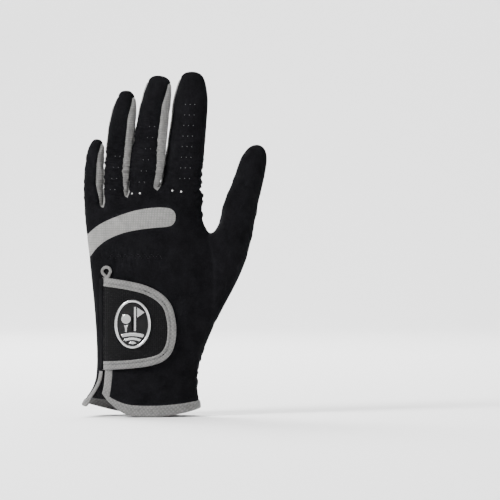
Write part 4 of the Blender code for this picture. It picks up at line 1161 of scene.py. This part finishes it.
def mound(top, low):
    """A strip of turf between two rises, cut off by the oval."""
    half = [BADGE_SIZE[0] / 2 - 3.1, BADGE_SIZE[1] / 2 - 3.1]

    def edge(z, way):
        return way * half[0] * math.sqrt(max(0.0, 1 - (z / half[1]) ** 2))

    upper = [(edge(top - 1.4, -1) * (1 - k / 12) + edge(top - 1.4, 1) * k / 12,
              top - 1.4 + 1.4 * math.sin(math.pi * k / 12)) for k in range(13)]
    lower = [(edge(low - 0.9, 1) * (1 - k / 12) + edge(low - 0.9, -1) * k / 12,
              low - 0.9 + 0.9 * math.sin(math.pi * k / 12)) for k in range(13)]
    return upper + lower


MOTIF = (
    [(0.9, -4.6), (2.3, -4.6), (2.3, 11.6), (0.9, 11.6)],
    [(3.0, 11.4), (8.2, 7.9), (3.0, 4.2)],
    arc(-4.4, 3.4, 3.2, 0, 345, 22),
    [(-6.0, -0.5), (-4.4, -0.9), (-2.8, -0.5), (-3.6, -2.0), (-3.9, -5.2), (-4.9, -5.2), (-5.2, -2.0)],
    mound(-5.6, -8.0), mound(-8.8, -10.6), mound(-11.4, -12.6),
)


def add_motif():
    """The raised shapes, each an outline with a bevelled top."""
    bm = bmesh.new()
    for outline in MOTIF:
        verts = [bm.verts.new((BADGE_PLACE[0] + x, 0.0, BADGE_PLACE[1] + z)) for x, z in outline]
        face = bm.faces.new(verts)
        made = bmesh.ops.extrude_face_region(bm, geom=[face])["geom"]
        top = [v for v in made if isinstance(v, bmesh.types.BMVert)]
        for v in top:
            v.co.y -= 0.9
        rim = [e for e in made if isinstance(e, bmesh.types.BMEdge)]
        bmesh.ops.bevel(bm, geom=rim, offset=0.3, segments=2, affect="EDGES", profile=0.5, clamp_overlap=True)
    bmesh.ops.recalc_face_normals(bm, faces=bm.faces)
    for v in bm.verts:
        v.co.y += WHOLE.height(v.co.x, v.co.z) - badge_lift(v.co.x, v.co.z) - 0.55
        v.co *= MM
    mesh = bpy.data.meshes.new("badge_flag_and_ball")
    bm.to_mesh(mesh)
    bm.free()
    mesh.materials.append(SILVERED)
    obj = bpy.data.objects.new("badge_flag_and_ball", mesh)
    bpy.context.scene.collection.objects.link(obj)
    return obj


rings = [oval_path(inset) for inset in (0.0, 0.3, 1.6, 3.2, 5.5, 8.5, 11.9)]
plate = laid("badge_plate_disc", rings[::-1], -1, badge_lift, 0.6, [GROUND], ring=True, puff=0.1)
RIM_SECTION = (
    (0.1, 0.0), (0.0, 0.7), (0.35, 1.25), (1.0, 1.5), (1.65, 1.3), (2.0, 0.8), (2.1, 0.2), (1.1, -0.1),
)
rim = swept("badge_silver_rim", oval_path, RIM_SECTION, badge_lift, [SILVERED], ring=True)
motif = add_motif()
for piece, node in ((plate, "badge_plate"), (rim, "badge_rim"), (motif, "badge_motif")):
    enter(node)
    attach(piece, "tab")


# ---- the pull loop ---------------------------------------------------------------------
def add_pull_loop():
    """A teardrop of rolled tape at the top of the slit."""
    corners = [(-28.4, 88.4), (-28.7, 90.4), (-30.9, 92.6), (-31.8, 94.6), (-30.8, 96.6), (-28.8, 97.2),
               (-26.9, 96.4), (-26.2, 94.4), (-27.0, 92.4), (-27.8, 90.4), (-28.1, 88.6)]
    path = [Vector((x, WHOLE.height(x, z) - 1.5, z)) for x, z in rounded(corners, 5)]
    points, faces, sides = [], [], 10
    for k, p in enumerate(path):
        ahead = (path[min(k + 1, len(path) - 1)] - path[max(k - 1, 0)]).normalized()
        out = Vector((0.0, -1.0, 0.0))
        across = ahead.cross(out).normalized()
        for j in range(sides):
            t = 2 * math.pi * j / sides
            points.append(p + across * 1.0 * math.cos(t) + out * 0.7 * math.sin(t))
    for k in range(len(path) - 1):
        for j in range(sides):
            a, b = k * sides + j, k * sides + (j + 1) % sides
            faces.append((a, b, b + sides, a + sides))
    faces.append(tuple(range(sides)))
    faces.append(tuple(reversed(range(len(points) - sides, len(points)))))
    obj = add_piece("pull_loop_tape", points, faces, [TAPE])
    turn_out(obj)
    return obj


loop = add_pull_loop()
enter("pull_loop")
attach(loop, "hand")


# ---- stitches and perforations, by Geometry Nodes ----------------------------------------
def repeat_tree(name, along_line):
    """A tree that sets one small shape along a line, or on each point facing outwards."""
    tree = bpy.data.node_groups.new(name, "GeometryNodeTree")
    for label, kind, value in (
            ("Geometry", "NodeSocketGeometry", None), ("Pitch", "NodeSocketFloat", 2.7 * MM),
            ("Length", "NodeSocketFloat", 2.0 * MM), ("Thickness", "NodeSocketFloat", 0.5 * MM),
            ("Material", "NodeSocketMaterial", None)):
        socket = tree.interface.new_socket(name=label, in_out="INPUT", socket_type=kind)
        if value is not None:
            socket.default_value = value
    tree.interface.new_socket(name="Geometry", in_out="OUTPUT", socket_type="NodeSocketGeometry")
    given = put(tree, "NodeGroupInput")
    if along_line:
        curve = put(tree, "GeometryNodeMeshToCurve", {0: given.outputs["Geometry"]})
        spaced = put(tree, "GeometryNodeResampleCurve", {
            "Curve": curve.outputs[0], "Length": given.outputs["Pitch"]}, mode="LENGTH")
        way = put(tree, "GeometryNodeInputTangent").outputs[0]
        points, segments = spaced.outputs[0], 6
    else:
        facing = put(tree, "GeometryNodeInputNamedAttribute", {"Name": "facing"}, data_type="FLOAT_VECTOR")
        way = facing.outputs[0]
        points, segments = given.outputs["Geometry"], 8
    shape = put(tree, "GeometryNodeMeshUVSphere", {"Segments": segments, "Rings": 4, "Radius": 0.5})
    turn = put(tree, "FunctionNodeAlignRotationToVector", {"Vector": way}, axis="X")
    size = put(tree, "ShaderNodeCombineXYZ", {0: given.outputs["Length"], 1: given.outputs["Thickness"],
                                              2: given.outputs["Thickness"]})
    copies = put(tree, "GeometryNodeInstanceOnPoints", {
        "Points": points, "Instance": shape.outputs[0],
        "Rotation": turn.outputs[0], "Scale": size.outputs[0]})
    real = put(tree, "GeometryNodeRealizeInstances", {0: copies.outputs[0]})
    named = put(tree, "GeometryNodeSetMaterial", {0: real.outputs[0], "Material": given.outputs["Material"]})
    put(tree, "NodeGroupOutput", {0: named.outputs[0]})
    return tree


STITCH_ROW = repeat_tree("Stitch row", True)
EYELETS = repeat_tree("Eyelets", False)


def repeated(name, tree, points, edges, facing, **inputs):
    """Runs a tree over a few points and returns its shapes as one plain mesh."""
    mesh = bpy.data.meshes.new(name)
    mesh.from_pydata([Vector(p) * MM for p in points], edges, [])
    if facing is not None:
        attribute = mesh.attributes.new("facing", "FLOAT_VECTOR", "POINT")
        attribute.data.foreach_set("vector", [c for n in facing for c in n])
    source = bpy.data.objects.new(name + "_line", mesh)
    bpy.context.scene.collection.objects.link(source)
    modifier = source.modifiers.new("Repeat", "NODES")
    modifier.node_group = tree
    for item in tree.interface.items_tree:
        if item.in_out == "INPUT" and item.name in inputs:
            value = inputs[item.name]
            modifier[item.identifier] = value if item.name == "Material" else value * MM
    evaluated = source.evaluated_get(bpy.context.evaluated_depsgraph_get())
    made = bpy.data.meshes.new_from_object(evaluated)
    made.name = name
    made.polygons.foreach_set("use_smooth", [True] * len(made.polygons))
    bpy.data.objects.remove(source)
    obj = bpy.data.objects.new(name, made)
    bpy.context.scene.collection.objects.link(obj)
    return obj


def on_cloth(x, z, way, lift):
    found, normal, _, _ = DRAPED.ray_cast(Vector((x, way * 200.0, z)), Vector((0.0, -way, 0.0)))
    if found is None:
        found, normal, _, _ = DRAPED.find_nearest(Vector((x, way * 12.0, z)))
    return found + normal * lift


def sewn(name, line, way, thread, body, pitch=2.7, length=1.9, thickness=0.45, lift=0.05,
         fineness=10, spots=None):
    """A row of stitches along a line over the cloth."""
    points = spots or [on_cloth(x, z, way, lift) for x, z in rounded(line, fineness)]
    edges = [(k, k + 1) for k in range(len(points) - 1)]
    obj = repeated(name, STITCH_ROW, points, edges, None, Pitch=pitch, Length=length, Thickness=thickness,
                   Material=thread)
    if body:
        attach(obj, body)
    return obj


arc_line = rounded(THUMB_SEAM[2:13], 6)
for place, by in (("inner", -1.6), ("outer", -3.6)):
    sewn(f"stitches_thumb_arc_{place}", offset(arc_line, by), 1, THREAD_BLACK, "hand", fineness=2)


def hem_line(x0, x1, way, height):
    xs = np.linspace(x0, x1, 40)
    spots = []
    for x in xs:
        z = drop_cuff((x, way * 16.0, height), True)[2]
        spots.append(on_cloth(x, z, way, 0.0))
    return spots


sewn("stitches_hem_back", None, -1, THREAD_GREY, "hand", spots=hem_line(-20.0, 33.0, -1, 4.3))
sewn("stitches_hem_palm", None, 1, THREAD_GREY, "hand", spots=hem_line(-36.0, 33.0, 1, 4.3))

tab_stitch_spots = []
for x, z in tab_edge(3.5):
    tab_stitch_spots.append(Vector((x, WHOLE.height(x, z) - tab_lift(x, z) - 1.68 * pressed(x), z)))
tab_row = sewn("stitches_tab_tape", None, -1, THREAD_GREY, None, length=1.7, thickness=0.6,
               spots=tab_stitch_spots)
bend_with_tab(tab_row)

zigzag = [(x, 104.6 + (1.3 if k % 2 else -1.3)) for k, x in enumerate(np.arange(-27.0, 10.0, 2.2))]
sewn("stitches_back_gather", zigzag, -1, THREAD_BLACK, "hand", pitch=1.7, length=1.5, fineness=2)
zigzag = [(x, 33.0 + (2.4 if k % 2 else -2.4)) for k, x in enumerate(np.arange(-28.0, 28.0, 3.2))]
sewn("stitches_wrist_gather", zigzag, 1, THREAD_BLACK, "hand", pitch=2.0, length=1.7, fineness=2)


def seam_spots(x, lift, low, high, count):
    return [Vector((x, WHOLE.height(x, z) - lift, z)) for z in np.linspace(low, high, count)]


sewn("stitches_tab_seam_pale", None, -1, THREAD_PALE, "hand", pitch=2.4, length=1.3,
     spots=seam_spots(TAB_LEFT - 1.1, 0.95, 64.0, 76.0, 12))
sewn("stitches_tab_seam", None, -1, THREAD_BLACK, "hand",
     spots=seam_spots(TAB_LEFT - 0.4, 0.9, 30.0, 62.0, 24))

EYELET_SPOTS = [(15.3, 148.8), (21.2, 148.1), (-11.8, 146.8), (-6.5, 147.0)]


def add_eyelets(name, spots, way, size, material, body=None):
    points, facing = [], []
    for x, z in spots:
        found, normal, _, _ = DRAPED.ray_cast(Vector((x, way * 200.0, z)), Vector((0.0, -way, 0.0)))
        points.append(found - normal * 0.02)
        facing.append(normal)
    obj = repeated(name, EYELETS, points, [], facing, Pitch=1.0, Length=0.3, Thickness=size,
                   Material=material)
    if body:
        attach(obj, body)
    return obj


add_eyelets("eyelets_knuckle", EYELET_SPOTS, -1, 1.3, THREAD_PALE, "hand")
PIN_ROWS = (  # small perforations up a finger: lowest and highest, rows, holes in a row, spacing
    ("index", (23.6, 157.0), (27.2, 207.0), 8, 3, 3.2),
    ("middle", (-5.2, 154.5), (1.6, 192.0), 6, 2, 3.4),
    ("ring", (-25.0, 149.5), (-21.6, 172.0), 4, 2, 3.2),
)
for name, low, high, rows, count, gap in PIN_ROWS:
    digit = Digit(FINGERS[FINGER_NAMES.index(name)], FINGER_NAMES.index(name))
    spots = []
    for r in range(rows):
        x, z = (mix(low[k], high[k], r / (rows - 1)) for k in (0, 1))
        spots += [(x + gap * (c - (count - 1) / 2), z) for c in range(count)]
    border = digit.centre(digit.share(digit.cut)).z
    for part, joint, chosen, parent, body, reach, crease in (
            ("near", f"{name}_root_bend", [p for p in spots if p[1] < border],
             "hand", f"{name}_lower", digit.creases[0] - WEB_CUT - ROOT_REACH, 0),
            ("far", f"{name}_knuckle_bend", [p for p in spots if p[1] >= border],
             f"{name}_lower", f"{name}_upper", KNUCKLE_REACH, 1)):
        obj = add_eyelets(f"eyelets_{name}_{part}", chosen, -1, 0.6, THREAD_GREY)
        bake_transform(obj)

# ---- floor, light and camera -----------------------------------------------------------
def matt_paper():
    """Heavy matt paper: pale, with a faint tooth."""
    material, tree, shader, place = start_material("matt_paper_white", Roughness=0.95, Specular_IOR_Level=0.1)
    tooth = put(tree, "ShaderNodeTexNoise", {"Vector": place, "Scale": 400.0, "Detail": 2.0})
    colour = shades(tree, tooth.outputs[0], "#f6f6f6", "#fbfbfb")
    finish(tree, shader, Base_Color=colour)
    return material


def add_sweep():
    """A sheet of paper that runs under the glove and curves up behind it and behind the camera."""
    low = min(OUTER[:, 2]) - 0.4
    curve = [(2200.0 + 900 * math.sin(t), low + 900 * (1 - math.cos(t)))
             for t in np.linspace(0.0, math.pi / 2, 14)]
    curve += [(3100.0, 4000.0)]
    profile = [(-y - 600.0, z) for y, z in reversed(curve)] + curve
    points, faces = [], []
    for x in (-6000.0, 6000.0):
        points += [(x, y, z) for y, z in profile]
    n = len(profile)
    for k in range(n - 1):
        faces.append((k, k + n, k + n + 1, k + 1))
    return add_piece("paper_sweep", points, faces, [matt_paper()])


sweep = add_sweep()


def add_light(name, place, aim, size, power):
    data = bpy.data.lights.new(name, "AREA")
    data.shape = "DISK"
    data.size = size
    data.energy = power
    obj = bpy.data.objects.new(name, data)
    obj.location = place
    obj.rotation_euler = (Vector(aim) - Vector(place)).to_track_quat("-Z", "Y").to_euler()
    bpy.context.scene.collection.objects.link(obj)


for name, place, aim, size, power in (
        ("key", (-1.7, -1.2, 1.6), (0.0, 0.0, 0.1), 0.9, 130),
        ("fill", (1.6, -1.5, 0.6), (0.0, 0.0, 0.1), 1.4, 22),
        ("palm_side", (-0.9, 1.5, 1.6), (0.0, 0.0, 0.1), 1.2, 70),
        ("backdrop", (0.0, 0.9, 2.6), (0.0, 3.0, 0.4), 1.6, 90)):
    add_light(name, place, aim, size, power)
world = bpy.data.worlds.new("studio")
world.use_nodes = True
tree = world.node_tree
height = put(tree, "ShaderNodeSeparateXYZ", {0: put(tree, "ShaderNodeTexCoord").outputs["Generated"]})
glow = put(tree, "ShaderNodeMapRange", {0: height.outputs[2], 1: 0.1, 2: 0.8, 3: 1.1, 4: 0.3})
tree.links.new(glow.outputs[0], tree.nodes["Background"].inputs[1])
tree.nodes["Background"].inputs[0].default_value = linear("#ffffff")
bpy.context.scene.world = world

DISTANCE = 2.0
camera = bpy.data.objects.new("camera", bpy.data.cameras.new("camera"))
camera.location = (0.0676, -DISTANCE, 0.1088)
camera.rotation_euler = (math.radians(90), 0.0, 0.0)
camera.data.sensor_width = 36.0
camera.data.lens = 106.5 * DISTANCE
bpy.context.scene.collection.objects.link(camera)
bpy.context.scene.camera = camera
